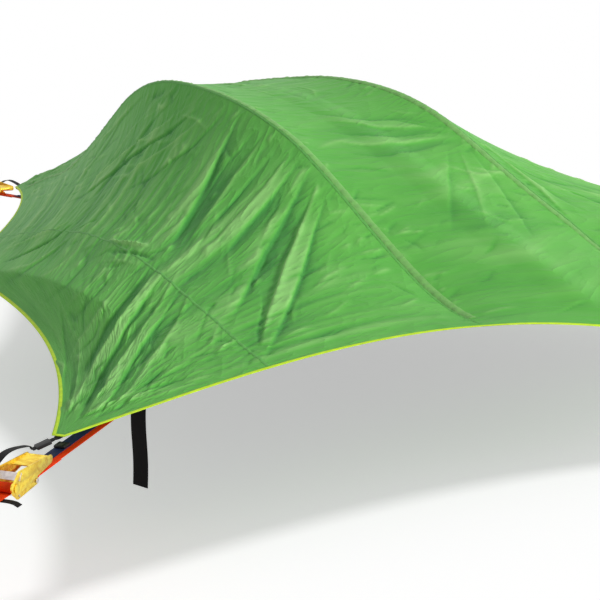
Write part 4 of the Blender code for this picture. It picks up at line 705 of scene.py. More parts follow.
def hem(start, end, shape, w):
    """Places on a hem at shares w: a straight line, drawn in and lifted by the cloth's pull."""
    sag, lift, shift = shape
    line = end - start
    inward = np.array([-line[1], line[0], 0.0]) / np.hypot(line[0], line[1])
    if inward @ (start + end) > 0.0:
        inward = -inward
    bulge = 4.0 * w * (1.0 - w) * (1.0 + shift * (2.0 * w - 1.0))
    return start + np.outer(w, line) + np.outer(bulge, inward * sag + np.array([0.0, 0.0, lift]))


def column_ends(stations):
    """Front and rear ends of the fly's columns, from the left tip to the right one."""
    left = radial(CORNER_ANGLES["left"], TIP_RADIUS)
    tail = radial(CORNER_ANGLES["tail"], TIP_RADIUS)
    side = across(CORNER_ANGLES["left"]) * TIP_HALF_WIDTH
    front_lobe = radial(-90.0, LOBE_RADIUS, FRONT_LOBE_LIFT)
    side_lobe = radial(150.0, LOBE_RADIUS, SIDE_LOBE_LIFT)
    tail_end = tail + across(CORNER_ANGLES["tail"]) * TIP_HALF_WIDTH
    half = np.where(stations > TAIL_COLUMN, LAST_COLUMN - stations, stations)
    flip = np.where(stations > TAIL_COLUMN, -1.0, 1.0)[:, None]
    front = hem(left + side, front_lobe, FRONT_HEM,
                np.interp(half, (*SEAM_COLUMNS[:3], TAIL_COLUMN), FRONT_SHARES))
    share = np.interp(half, REAR_STATIONS, REAR_SHARES)
    near = hem(left - side, side_lobe, SIDE_HEM, np.minimum(share, 1.0))
    far = hem(side_lobe, tail_end, REAR_HEM, np.maximum(share - 1.0, 0.0))
    rear = np.where((share <= 1.0)[:, None], near, far)
    last = unit(half - REAR_STATIONS[-1])[:, None]
    rear = rear * (1.0 - last) + tail * last
    mirror = np.array([1.0, 0.0, 0.0])
    return [end * (1.0 - mirror) + end * mirror * flip for end in (front, rear)]


def resample(values, places):
    """Read rows of values at places between them, along a smooth curve."""
    last = len(values) - 1
    first = np.clip(np.floor(places).astype(int), 0, last - 1)
    t = (places - first)[:, None]
    ext = np.concatenate([[2.0 * values[0] - values[1]], values, [2.0 * values[-1] - values[-2]]])
    p0, p1, p2, p3 = ext[first], ext[first + 1], ext[first + 2], ext[first + 3]
    return (2.0 * p1 + (p2 - p0) * t + (2.0 * p0 - 5.0 * p1 + 4.0 * p2 - p3) * t ** 2
            + (3.0 * p1 - p0 - 3.0 * p2 + p3) * t ** 3) / 2.0


def ridge_level(y, shares):
    place = np.array([(y - RIDGE_SPAN[0]) / (RIDGE_SPAN[1] - RIDGE_SPAN[0]) * (len(shares) - 1)])
    return RIDGE_HEIGHT * float(resample(np.array(shares)[:, None], place)[0, 0])


def taut_heights():
    """How far the taut cloth stands above the straight line between a column's two ends. Border
    and ridges are fixed, and every other place hangs evenly between its four neighbours."""
    front, rear = column_ends(np.arange(LAST_COLUMN + 1.0))
    share = np.arange(ROWS + 1.0)[None, :, None] / ROWS
    grid = front[:, None] + (rear - front)[:, None] * share
    straight = grid[:, :, 2].copy()
    known = np.zeros(grid.shape[:2], dtype=bool)
    known[0] = known[-1] = known[:, 0] = known[:, -1] = True
    for column, shares in zip(RIDGE_COLUMNS, (LEFT_RIDGE, RIGHT_RIDGE)):
        for row in range(1, ROWS):
            y = grid[column, row, 1]
            if RIDGE_SPAN[0] <= y <= RIDGE_SPAN[1]:
                grid[column, row, 2] = ridge_level(y, shares)
                known[column, row] = True
    free = np.argwhere(~known)
    index = -np.ones(known.shape, dtype=int)
    index[~known] = np.arange(len(free))
    matrix = np.zeros((len(free), len(free)))
    right = np.zeros(len(free))
    for n, (i, j) in enumerate(free):
        for a, b in ((i - 1, j), (i + 1, j), (i, j - 1), (i, j + 1)):
            step = grid[a, b, :2] - grid[i, j, :2]
            pull = 1.0 / (step @ step)
            matrix[n, n] += pull
            if index[a, b] >= 0:
                matrix[n, index[a, b]] -= pull
            else:
                right[n] += pull * grid[a, b, 2]
    grid[free[:, 0], free[:, 1], 2] = np.linalg.solve(matrix, right)
    return grid[:, :, 2] - straight


def surface_normals(grid):
    normal = np.cross(np.gradient(grid, axis=0), np.gradient(grid, axis=1))
    return normal / np.maximum(np.linalg.norm(normal, axis=2, keepdims=True), TINY)


def crinkles():
    """Short sharp wrinkles that run towards the three tips, closer together near them, and
    puckers to either side of the four seams. Sizes are in metres and turns in radians."""
    rng = np.random.default_rng(23)
    lines = []
    for degrees in CORNER_ANGLES.values():
        angle = math.radians(degrees)
        tip = TIP_RADIUS * heading_vector(angle)
        for _ in range(CRINKLES_PER_TIP):
            heading = angle + math.pi + rng.uniform(-0.46, 0.46)
            start = tip + (0.12 + 1.9 * rng.random() ** 1.25) * heading_vector(heading)
            heading += rng.normal(0.0, 0.20)
            run = heading_vector(heading) * rng.uniform(0.05, 0.26)
            side = np.array([-run[1], run[0]]) * rng.normal(0.0, 0.08)
            height = rng.choice((-1.0, 1.0)) * rng.uniform(0.0022, 0.0052)
            lines.append((rng.uniform(0.008, 0.013), height,
                          np.array([start, start + run * 0.5 + side, start + run])))
    for front, rear in zip(*column_ends(np.array(SEAM_COLUMNS[1:-1]))):
        seam = math.atan2(rear[1] - front[1], rear[0] - front[0])
        for _ in range(PUCKERS_PER_SEAM):
            heading = seam + rng.choice((-0.5, 0.5)) * math.pi + rng.normal(0.0, 0.35)
            run = heading_vector(heading)
            start = (front + (rear - front) * rng.uniform(0.02, 0.98))[:2] + run * 0.014
            height = rng.choice((-1.0, 1.0)) * rng.uniform(0.0022, 0.0048)
            lines.append((rng.uniform(0.007, 0.010), height,
                          np.array([start, start + run * rng.uniform(0.03, 0.11)])))
    return lines


def crease_field(plan):
    """Height of the creases at each place on the plan: the photographed ones, the left hump's own
    laid once more, mirrored and weaker, on the hump that faces away, and the crinkles. A crease
    is a rounded fold, and a long one also has a step, up on one hand and down on the other."""
    flat = plan.reshape(-1, 2)
    total = np.zeros(len(flat))
    lines = [(w, h, np.array(p)) for w, h, p in CREASES]
    wider, lower, mirrored = 1.15, 0.8, (-1.0, 1.0)
    lines += [(w * wider, h * lower, p * mirrored) for w, h, p in lines
              if p[:, 0].max() < LEFT_HUMP_EDGE]
    lines += crinkles()
    for width, height, points in lines:
        reach = 3.0 * width
        low = points.min(0) - reach
        high = points.max(0) + reach
        near = np.where((flat[:, 0] > low[0]) & (flat[:, 0] < high[0]) & (flat[:, 1] > low[1])
                        & (flat[:, 1] < high[1]))[0]
        if len(near) == 0:
            continue
        spots = flat[near]
        steps = np.linalg.norm(np.diff(points, axis=0), axis=1)
        length = steps.sum()
        best = np.full(len(near), FAR)
        along = np.zeros(len(near))
        hand = np.ones(len(near))
        run = 0.0
        for start, end, step in zip(points[:-1], points[1:], steps):
            line = (end - start) / step
            ahead = np.clip((spots - start) @ line, 0.0, step)
            away = np.linalg.norm(spots - start - ahead[:, None] * line, axis=1)
            closer = away < best
            best[closer] = away[closer]
            aside = (spots - start) @ np.array([-line[1], line[0]])
            hand[closer] = np.sign(aside[closer])
            along[closer] = (run + ahead[closer]) / length
            run += step
        # Wider along its run and at its middle; a broad crease keeps less of its given width
        middle = np.sin(np.pi * unit(along))
        broad = 0.42 if width > BROAD_CREASE else 0.62
        wide = width * broad * (0.35 + 0.55 * along + 0.40 * middle)
        fold = np.exp(-(best / wide) ** 1.2)
        if length > LONG_CREASE:
            rise = (1.0 - np.exp(-best / (0.35 * wide))) * np.exp(-best / (3.0 * wide))
            fold = 0.60 * fold + 0.62 * hand * rise
        total[near] += height * middle ** 0.8 * fold
    return total.reshape(plan.shape[:2])


def pulled_field(s, t, spans):
    """Fine creases that the pull draws from ridge to tip: many across, few along, weaker the
    finer they are and lower where the columns draw together. They die out at the ridges."""
    rng = np.random.default_rng(11)
    fields = []
    # 0.12 as strong within about 6 columns of a tip, and full from 9 columns on
    from_tip = np.clip((np.minimum(s, LAST_COLUMN - s) - 5.5) / 3.5, 0.12, 1.0)
    turns = t[None, :] / ROWS
    for (low, high), power in zip(FLY_SIDES, (1.0, 0.30, 1.0)):
        share = unit((s - low) / (high - low))[:, None]
        field = np.zeros((len(s), len(t)))
        for cycles in (7, 11, 16, 23, 31, 42, 57, 76):
            phase = rng.uniform(0.0, 2.0 * math.pi)
            bend = rng.uniform(-1.6, 1.6)
            drift = rng.uniform(-2.5, 2.5)
            strong = np.exp(-((share - rng.uniform(0.25, 0.75)) / 0.42) ** 2)
            patch = 0.5 + 0.5 * np.sin(2.0 * math.pi * (turns * rng.uniform(1.5, 4.0)
                                                        + rng.uniform(0.0, 1.0)))
            wave = np.sin(2.0 * math.pi * cycles * t[None, :] / ROWS + phase
                          + bend * share * 3.0 + drift * share ** 2)
            wave = np.sign(wave) * np.abs(wave) ** 1.3
            fine = 1.9 * from_tip if cycles > 30 else from_tip ** 0.5
            field += wave * strong * patch * 0.052 / cycles * (fine * spans)[:, None]
        inside = ((s >= low) & (s <= high))[:, None]
        fields.append(np.where(inside, field * power * np.sin(np.pi * share) ** 0.6, 0.0))
    return sum(fields)


def fly_surface():
    """The fly as the settings have it now."""
    return creased_fly(settings()[0].crease_strength)


@cache
def creased_fly(strength):
    """The fly's fine grid, made once: stations, rows, places, normals, the map of lengths, and
    how far each place is creased, 0.5 where it is flat."""
    s = np.concatenate([np.linspace(low, high, count)[:-1] for low, high, count in
                        zip(SEAM_COLUMNS[:-1], SEAM_COLUMNS[1:], PANEL_POINTS)]
                       + [[LAST_COLUMN]])
    t = np.linspace(0.0, ROWS, ROW_POINTS)
    rows = resample(taut_heights().T, t).T
    heights = []
    for low, high in FLY_SIDES:
        inside = (s >= low) & ((s < high) | (high == LAST_COLUMN))
        heights.append(resample(rows[low:high + 1], s[inside] - low))
    front, rear = column_ends(s)
    grid = front[:, None] + (rear - front)[:, None] * (t / ROWS)[None, :, None]
    grid[:, :, 2] += np.concatenate(heights)
    spans = np.linalg.norm(grid[:, -1] - grid[:, 0], axis=1)
    lift = (crease_field(grid[:, :, :2]) + pulled_field(s, t, spans / spans.max())) * strength
    # The creases die out before the ridges, the outer tips and the hems
    ridge = np.minimum(*[np.abs(s - column) for column in RIDGE_COLUMNS])
    calm = (unit((ridge - 0.08) / 0.35) * unit(s / 0.6) * unit((LAST_COLUMN - s) / 0.6))[:, None]
    calm = calm * unit(t / 0.7) * unit((ROWS - t) / 0.7)
    hem_distance = np.minimum(t, ROWS - t)[None, :] / ROWS * spans[:, None]
    calm = calm * unit((hem_distance - 0.012) / 0.050)
    grid = grid + surface_normals(grid) * (lift * calm)[:, :, None]
    u = run_lengths(grid[:, ROW_POINTS // 2])
    uv = np.stack(np.broadcast_arrays(u[:, None], (t / ROWS * UV_LENGTH)[None, :]), -1)
    return SimpleNamespace(s=s, t=t, grid=grid, normals=surface_normals(grid), uv=uv,
                           crease=unit(0.5 + lift * calm / CREASE_TONE_RANGE))


def drawn_in(grid, distance):
    """The grid with its border drawn inward along the cloth, so that it stops inside the tape's
    fold. The ten rows nearest to it give way, along the line to the twelfth."""
    out = grid.copy()
    for axis, count in enumerate(grid.shape[:2]):
        work = np.moveaxis(out, axis, 0)
        for edge, step in ((0, 1), (count - 1, -1)):
            border = work[edge].copy()
            line = work[edge + 12 * step] - border
            run = np.linalg.norm(line, axis=-1, keepdims=True)
            way = line / np.maximum(run, TINY)
            calm = unit(run / 0.05)
            for k in range(10):
                gone = np.linalg.norm(work[edge + k * step] - border, axis=-1, keepdims=True)
                move = np.clip(distance - gone * 0.35, 0.0, None) * calm
                work[edge + k * step] = work[edge + k * step] + way * move
    return out


def build_fly_panels():
    cloth = settings()[0]
    fly = fly_surface()
    inner = drawn_in(fly.grid, cloth.binding_width * 0.55)
    material = fly_cloth()
    names = ("left_outer", "left_inner", "centre", "right_inner", "right_outer")
    for name, low, high in zip(names, SEAM_COLUMNS[:-1], SEAM_COLUMNS[1:]):
        keep = (fly.s >= low) & (fly.s <= high)
        piece = cloth_shell("fly_" + name, inner[keep], fly.normals[keep], cloth.fly_thickness,
                            fly.uv[keep])
        # The crease heights go to the material as an attribute, from which it paints a highlight on
        # raised creases and shade in sunk ones
        tone = fly.crease[keep].ravel()
        layer = piece.data.attributes.new("crease", "FLOAT", "POINT")
        layer.data.foreach_set("value", np.concatenate([tone, tone]).astype(np.float32))
        stand_for(piece, material, "tent", "fly", "fly_panel_" + name)


def on_fly(s_places, t_places, offset):
    """Places and normals on the fly at stations, moved across by an offset in metres, which is
    turned to stations by a short step towards the same hand."""
    fly = fly_surface()
    step = 0.2 if offset >= 0.0 else -0.2

    def read(values, a, b):
        i = np.clip(np.searchsorted(fly.s, a) - 1, 0, len(fly.s) - 2)
        j = np.clip(np.searchsorted(fly.t, b) - 1, 0, len(fly.t) - 2)
        x = ((a - fly.s[i]) / (fly.s[i + 1] - fly.s[i]))[:, None]
        y = ((b - fly.t[j]) / (fly.t[j + 1] - fly.t[j]))[:, None]
        return ((values[i, j] * (1 - x) + values[i + 1, j] * x) * (1 - y)
                + (values[i, j + 1] * (1 - x) + values[i + 1, j + 1] * x) * y)

    ahead = read(fly.grid, s_places + step, t_places)
    here = read(fly.grid, s_places, t_places)
    spacing = np.linalg.norm(ahead - here, axis=1) / abs(step)
    moved = s_places + offset / np.maximum(spacing, 1e-4)
    return read(fly.grid, moved, t_places), read(fly.normals, moved, t_places)


def tape_on_fly(name, station, low, high, rise, ripple, seed, t_range=(0.15, 21.85), steps=420):
    """A strip sewn along a seam: flat edges, a low crown, and the small puckers of the thread."""
    rng = np.random.default_rng(seed)
    t_places = np.linspace(*t_range, steps)
    s_places = np.full(steps, float(station))
    pucker = np.zeros(steps)
    for cycles in (55, 83, 121, 170):
        pucker += np.sin(2.0 * math.pi * cycles * np.linspace(0.0, 1.0, steps)
                         + rng.uniform(0.0, 6.3) + 3.0 * np.sin(7.0 * t_places / ROWS * cycles / 55))
    pucker = pucker / 4.0 * ripple
    along = run_lengths(on_fly(s_places, t_places, low)[0])
    top, under, coords = [], [], []
    for share in np.linspace(0.0, 1.0, 9):
        crown = 1.0 - (2.0 * share - 1.0) ** 2
        place, normal = on_fly(s_places, t_places, low + (high - low) * share)
        level = TAPE_EDGE + rise * crown + pucker * (0.25 + 0.75 * crown)
        top.append(place + normal * level[:, None])
        under.append(place - normal * TAPE_SINK)
        coords.append(np.stack([np.full(steps, (high - low) * (share - 0.5)), along], -1))
    return ring_tube(name, np.stack(top + under[::-1], 1), np.stack(coords + coords[::-1], 1))


def build_fly_seams():
    """Flat-felled seams between the panels, and the pole sleeve's ruched band over each ridge."""
    cloth = settings()[0]
    half = SEAM_WIDTH / 2.0
    edge = cloth.sleeve_width / 2.0 - 0.003
    seam = sewn_tape("seam_felled_polyester_green", cloth.fly_shade, cloth.thread_colour,
                     (-0.0036, 0.0036), 0.55)
    sleeve = sewn_tape("pole_sleeve_polyester_green", cloth.sleeve_colour, cloth.thread_colour,
                       (-edge, edge), 0.5)
    for name, station, seed in (("left_outer", 8.0, 3), ("right_outer", 32.0, 5)):
        tape = tape_on_fly("fly_seam_" + name, station, -half, half, 0.0008, 0.0011, seed)
        stand_for(tape, seam, "tent", "fly")
    for name, station, side, seed in (("left", 16.0, 1.0, 7), ("right", 24.0, -1.0, 9)):
        near, far = sorted((0.0, side * cloth.sleeve_width))
        band = tape_on_fly("fly_pole_sleeve_" + name, station, near, far, 0.0030, 0.0030, seed,
                           (0.6, 21.4), 520)
        stand_for(band, sleeve, "tent", "fly")
        near, far = sorted((-side * 0.002, -side * 0.013))
        tape = tape_on_fly("fly_seam_ridge_" + name, station, near, far, 0.0008, 0.0014, seed + 20)
        stand_for(tape, seam, "tent", "fly")


def build_fly_binding():
    """The neon tape folded over the fly's whole edge."""
    cloth = settings()[0]
    fly = fly_surface()
    nu, nv = fly.grid.shape[:2]
    few = list(range(0, nv, 60))
    ring = [(i, 0) for i in range(0, nu - 1, 2)]
    ring += [(nu - 1, j) for j in few[:-1]]
    ring += [(i, nv - 1) for i in range(nu - 1, 0, -2)]
    ring += [(0, j) for j in few[:0:-1]]
    place = np.array([fly.grid[i, j] for i, j in ring])
    normal = np.array([fly.normals[min(max(i, 6), nu - 7), min(max(j, 6), nv - 7)]
                       for i, j in ring])
    for _ in range(3):
        normal = (np.roll(normal, 1, 0) + normal * 2.0 + np.roll(normal, -1, 0)) / 4.0
    normal /= np.linalg.norm(normal, axis=1, keepdims=True)
    tangent = np.roll(place, -1, 0) - np.roll(place, 1, 0)
    tangent /= np.maximum(np.linalg.norm(tangent, axis=1, keepdims=True), TINY)
    inward = np.cross(normal, tangent)
    inward /= np.linalg.norm(inward, axis=1, keepdims=True)
    # Half of the folded section, as shares of the tape's width and heights off the cloth
    half = ((1.0, 0.0002), (0.96, 0.0008), (0.5, 0.0010), (0.12, 0.0007))
    width, thickness = cloth.binding_width, cloth.fly_thickness
    profile = [(width * share, rise) for share, rise in half] + [(0.0, -thickness / 2.0)]
    profile += [(width * share, -thickness - rise) for share, rise in half[::-1]]
    run = run_lengths(place)
    section = np.stack([place + inward * a + normal * b for a, b in profile], 1)
    coords = np.stack([np.stack([np.full(len(run), a), run], -1) for a, b in profile], 1)
    piece = ring_tube("fly_edge_tape", section, coords, closed=True)
    tape = sewn_tape("edge_binding_neon_polyester", cloth.binding_colour, cloth.binding_thread,
                     (width * 0.84,), 0.6)
    stand_for(piece, tape, "tent", "binding", "fly_edge_binding")


# Canopy, poles and floor


def build_canopy():
    net = insect_mesh()
    for part, flat in (("left", (1.75, 2.45)), ("right", (1.75, 2.45)),
                       ("centre", (1.05, 2.35)), ("door", (1.05, 1.30))):
        node = "canopy_" + part
        piece = copy_of(node, "net_" + part, dissolve=False)
        soften(piece, 2, 50.0)
        stand_for(piece, net, "tent", "canopy", node)


def build_poles():
    """Shock-corded tube poles in their moulded cups."""
    metal = settings()[2]
    tube = anodised_tube()
    plastic = moulded_plastic("pole_cup_moulded_nylon_black", metal.plastic_colour, MOULDED_GRAIN)
    for side in ("left", "right"):
        pole = copy_of("pole_" + side, "pole_tube_" + side, dissolve=False)
        soften(pole, 1, 60.0)
        stand_for(pole, tube, "tent", "pole", "pole_" + side)
        for end in ("front", "rear"):
            ends = "%s_%s" % (side, end)
            cup = copy_of("pole_cup_" + ends, "cup_" + ends)
            round_edges(cup, 0.0006)
            stand_for(cup, plastic, "tent", "plastic", "pole_cup_" + ends)


def build_floor():
    cloth, _, metal, _ = settings()
    weave = floor_weave("floor_ripstop_nylon_grey", cloth.floor_colour, cloth.floor_dark, 0.006)
    for node, name, body, edge, flat in (
            ("floor_panel", "floor_sheet", "tent", 0.0006, (3.60, 3.15)),
            ("hatch_flap", "hatch_flap_sheet", "hatch_flap", 0.0005, (0.61, 0.53))):
        piece = copy_of(node, name)
        round_edges(piece, edge, 1)
        stand_for(piece, weave, body, "floor", node)
    slider = copy_of("hatch_zip_slider", "zip_slider")
    round_edges(slider, 0.0005, 3)
    stand_for(slider, moulded_plastic("zip_slider_acetal_black", metal.plastic_colour, 1500.0, 0.35),
              "hatch_slider", "plastic", "hatch_zip_slider")


def build_floor_webbing():
    webbing = settings()[1]
    black = floor_weave("floor_webbing_polyester_black", webbing.black_colour,
                        webbing.black_rib_shade_and_wear, 0.0022, 0.62)
    for node in ("floor_webbing", "floor_edge_webbing_front", "floor_edge_webbing_left",
                 "floor_edge_webbing_right"):
        piece = copy_of(node, node + "_sewn")
        round_edges(piece, 0.0006)
        stand_for(piece, black, "tent", "webbing", node)


# Straps

def corner_matrix(label):
    """Straps are laid out along x from the fly's tip, and this turns them to their corner."""
    angle = math.radians(CORNER_ANGLES[label])
    place = radial(CORNER_ANGLES[label], TIP_RADIUS)
    return Matrix.Translation(Vector(place)) @ Matrix.Rotation(angle, 4, "Z")


def strap(name, path, width, thickness, matrix, lateral=None, slant=0.0):
    """Woven webbing along a path: a flat section that thins to its two selvedges, with its last
    end cut on a slant. Without a lateral direction it lies as level as its path lets it."""
    path = [Vector(p) for p in path]
    last = len(path) - 1
    shares = (-1.0, -0.985, -0.94, -0.85, -0.5, 0.0, 0.5, 0.85, 0.94, 0.985, 1.0)
    sections, coords = [], []
    run = 0.0
    for i, place in enumerate(path):
        if i:
            run += (place - path[i - 1]).length
        tangent = (path[min(i + 1, last)] - path[max(i - 1, 0)]).normalized()
        side = Vector(lateral) if lateral else UP.cross(tangent).normalized()
        normal = tangent.cross(side).normalized()
        shift = tangent * slant if i == last else Vector()
        row, marks = [], []
        for sign in (1.0, -1.0):
            for share in (shares if sign > 0.0 else shares[-2:0:-1]):
                half = thickness / 2.0 * (1.0 - 0.75 * abs(share) ** 18)
                if abs(share) == 1.0:
                    half = 0.0
                corner = (place + side * (share * width / 2.0) + normal * (sign * half)
                          + shift * (share / 2.0))
                row.append(tuple(matrix @ corner))
                marks.append((share * width / 2.0, run))
        sections.append(row)
        coords.append(marks)
    return ring_tube(name, np.array(sections), np.array(coords))


def smooth_path(controls, steps):
    """Places along a smooth curve through the control places."""
    pts = [Vector(c) for c in controls]
    pts = [pts[0] * 2.0 - pts[1]] + pts + [pts[-1] * 2.0 - pts[-2]]
    out = []
    for i in range(1, len(pts) - 2):
        p0, p1, p2, p3 = pts[i - 1:i + 3]
        for k in range(steps):
            t = k / steps
            out.append((p1 * 2.0 + (p2 - p0) * t + (p0 * 2.0 - p1 * 5.0 + p2 * 4.0 - p3) * t ** 2
                        + (p1 * 3.0 - p0 - p2 * 3.0 + p3) * t ** 3) / 2.0)
    out.append(pts[-2])
    return out


def stitch_rows(name, rows, matrix, material):
    """Short thread stitches along straight rows, each a six-sided bead with sunk ends."""
    points, faces = [], []
    for start, end in rows:
        start, end = Vector(start), Vector(end)
        count = max(int((end - start).length / BEAD_PITCH), 1)
        way = (end - start).normalized()
        side = way.cross(UP).normalized()
        up = side.cross(way)
        for k in range(count):
            middle = start + (end - start) * ((k + 0.5) / count)
            base = len(points)
            for along, radius in ((-0.40, 0.25), (-0.22, 0.9), (0.22, 0.9), (0.40, 0.25)):
                for a in range(6):
                    turn = math.pi * a / 3.0
                    points.append(matrix @ (middle + way * (along * BEAD_PITCH)
                                            + side * (0.00055 * radius * math.cos(turn))
                                            + up * (0.00045 * radius * math.sin(turn))))
            for ring in (base, base + 6, base + 12):
                for a in range(6):
                    b = (a + 1) % 6
                    faces.append((ring + a, ring + b, ring + 6 + b, ring + 6 + a))
            faces.append(tuple(base + a for a in range(5, -1, -1)))
            faces.append(tuple(base + 18 + a for a in range(6)))
    beads = mesh_piece(name, points, faces)
    with edit_mode(beads):
        bpy.ops.mesh.normals_make_consistent(inside=False)
    beads.data.shade_smooth()
    stand_for(beads, material, "tent", "strap")


def box_rows(near, far, half, level):
    """The rows of a box stitch with a cross in it."""
    a, b = (near, -half, level), (far, -half, level)
    c, d = (far, half, level), (near, half, level)
    return [(a, b), (b, c), (c, d), (d, a), (a, c), (b, d)]


def coil_radius():
    """From the spool's middle to the middle of the strap where it leaves the coil."""
    wound = MANDREL_RADIUS + GAP + WRAP_TURNS * (WEB_THICKNESS + GAP)
    return wound - GAP + WEB_THICKNESS / 2.0


def tree_strap_path():
    """Wound on the spool, straight out, round the sewn loop and back."""
    inner = MANDREL_RADIUS + GAP + WEB_THICKNESS / 2.0
    outer = coil_radius()
    path = []
    steps = int(WRAP_TURNS * 28)
    for k in range(steps + 1):
        share = k / steps
        angle = -math.pi / 2.0 + 2.0 * math.pi * WRAP_TURNS * (share - 1.0)
        radius = inner + (outer - inner) * share
        path.append((HUB_REACH + radius * math.cos(angle), 0.0,
                     -HUB_DROP + radius * math.sin(angle)))
    level = -HUB_DROP - outer
    end = HUB_REACH + STRAP_STRAIGHT
    sewn = end - STRAP_SEWN
    path += [(HUB_REACH + (sewn - HUB_REACH) * k / 8.0, 0.0, level) for k in range(1, 9)]
    path.append((end, 0.0, level))
    far = end + LOOP_LENGTH
    path.append((end + LOOP_LENGTH / 3.0, 0.0, level - LOOP_RADIUS / 3.0))
    middle = level + WEB_THICKNESS / 2.0
    for k in range(17):
        angle = -math.pi / 2.0 + math.pi * k / 16.0
        path.append((far + LOOP_RADIUS * math.cos(angle), 0.0,
                     middle + LOOP_RADIUS * math.sin(angle)))
    top = level + WEB_THICKNESS + GAP
    path.append((end + LOOP_LENGTH / 3.0, 0.0, top + LOOP_RADIUS / 3.0))
    return path + [(end, 0.0, top), (sewn, 0.0, top)]


def orange_webbing():
    webbing = settings()[1]
    return webbing_cloth("strap_woven_polyester_orange", webbing.orange_colour,
                         webbing.orange_rib_shade)


def black_webbing():
    webbing = settings()[1]
    return webbing_cloth("strap_woven_polyester_black", webbing.black_colour, webbing.black_rib_shade_and_wear)


def build_tree_straps():
    orange = orange_webbing()
    thread = moulded_plastic("stitch_thread_polyester_black", settings()[1].black_colour, 2500.0,
                             0.7)
    end = HUB_REACH + STRAP_STRAIGHT
    top = -HUB_DROP - coil_radius() + WEB_THICKNESS * 1.5 + GAP
    rows = box_rows(end - STRAP_SEWN + STITCH_INSET, end - STITCH_INSET, 0.0205, top)
    for label in CORNER_ANGLES:
        matrix = corner_matrix(label)
        piece = strap("strap_to_tree_" + label, tree_strap_path(), STRAP_WIDTH, WEB_THICKNESS,
                      matrix, lateral=SIDEWAYS)
        stand_for(piece, orange, "tent", "strap", "tree_strap_" + label)
        stitch_rows("loop_stitching_" + label, rows, matrix, thread)


def corner_run():
    """The frame's bolt, the strap's turn round it, where the strap leaves the floor, and the
    slope from there up to the bolt."""
    leave = (-0.300, FLOOR_WEB_BOTTOM - GAP - WEB_THICKNESS / 2.0)
    bolt = (HUB_REACH - BOLT_REACH, -HUB_DROP - BOLT_DROP)
    turn = BOLT_RADIUS + GAP + WEB_THICKNESS / 2.0
    return bolt, turn, leave, (bolt[1] + turn - leave[1]) / (bolt[0] - leave[0])


def corner_strap_path():
    """From under the floor to the frame's bolt, round it, and back along its own lower side."""
    bolt, turn, leave, slope = corner_run()
    path = [(CORNER_STRAP_START + (leave[0] - CORNER_STRAP_START) * k / 4.0, 0.0, leave[1])
            for k in range(5)]
    start = math.pi / 2.0 + math.atan(slope)
    low = [(x, 0.0, leave[1] + slope * (x - leave[0]) - WEB_THICKNESS - 2.0 * GAP)
           for x in (bolt[0] - 5.0 * turn, 0.030)]
    back = (low[0][0] - bolt[0], low[0][2] - bolt[1])
    end = math.atan2(back[1], back[0]) + math.acos(turn / math.hypot(*back)) - 2.0 * math.pi
    for k in range(17):
        angle = start + (end - start) * k / 16.0
        path.append((bolt[0] + turn * math.cos(angle), 0.0, bolt[1] + turn * math.sin(angle)))
    return path + low


def build_corner_straps():
    """Orange corner straps with the navy webbing that lies on them, and its small keeper."""
    _, webbing, metal, _ = settings()
    orange = orange_webbing()
    navy = webbing_cloth("webbing_woven_polyester_navy", webbing.navy_colour, webbing.navy_rib_shade)
    plastic = moulded_plastic("keeper_moulded_nylon_black", metal.plastic_colour, MOULDED_GRAIN)
    leave, slope = corner_run()[2:]
    path = []
    for k in range(9):
        x = NAVY_START + NAVY_LENGTH * k / 8.0
        path.append((x, NAVY_SIDE, leave[1] + slope * (x - leave[0]) + WEB_THICKNESS + 2.0 * GAP))
    for label in CORNER_ANGLES:
        matrix = corner_matrix(label)
        piece = strap("strap_corner_" + label, corner_strap_path(), STRAP_WIDTH, WEB_THICKNESS,
                      matrix, lateral=SIDEWAYS)
        stand_for(piece, orange, "tent", "strap", "corner_strap_" + label)
        piece = strap("webbing_corner_" + label, path, NAVY_WIDTH, WEB_THICKNESS, matrix,
                      lateral=SIDEWAYS)
        stand_for(piece, navy, "tent", "navy", "corner_webbing_" + label)
        keeper("keeper_" + label, matrix, plastic)


def keeper(name, matrix, plastic):
    """A ladder-lock keeper on the navy webbing: a bevelled block, sunk round a raised pad on its
    top and bottom."""
    leave, slope = corner_run()[2:]
    seat = leave[1] + slope * (KEEPER_PLACE - leave[0]) + WEB_THICKNESS * 1.5 + 2.0 * GAP
    bpy.ops.object.select_all(action="DESELECT")
    bpy.ops.mesh.primitive_cube_add(size=1.0, location=(0.0, 0.0, 0.0))
    block = bpy.context.object
    block.name = block.data.name = name
    block.scale = KEEPER_SIZE
    bpy.ops.object.transform_apply(location=False, rotation=False, scale=True)
    with edit_mode(block):
        bpy.ops.mesh.bevel(offset=0.0022, segments=2, affect="EDGES")
    pick_faces(block, lambda face: abs(face.normal.z) > 0.9 and face.area > 0.0001)
    with edit_mode(block, everything=False):
        bpy.ops.mesh.inset(thickness=0.0050, depth=-0.0018)
        bpy.ops.mesh.inset(thickness=0.0014, depth=0.0010)
    turn = Matrix.Rotation(-math.atan(slope), 4, "Y")
    place = Matrix.Translation((KEEPER_PLACE, NAVY_SIDE, seat + 0.0045))
    block.data.transform(matrix @ place @ turn)
    bpy.ops.object.shade_smooth_by_angle(angle=math.radians(35.0))
    stand_for(block, plastic, "tent", "plastic")


def pick_faces(thing, test):
    """Select only the faces that pass a test, so that the next tool works on them alone."""
    for part in (*thing.data.vertices, *thing.data.edges):
        part.select = False
    for face in thing.data.polygons:
        face.select = bool(test(face))
    for face in thing.data.polygons:
        if face.select:
            for v in face.vertices:
                thing.data.vertices[v].select = True
    bpy.context.tool_settings.mesh_select_mode = (False, False, True)


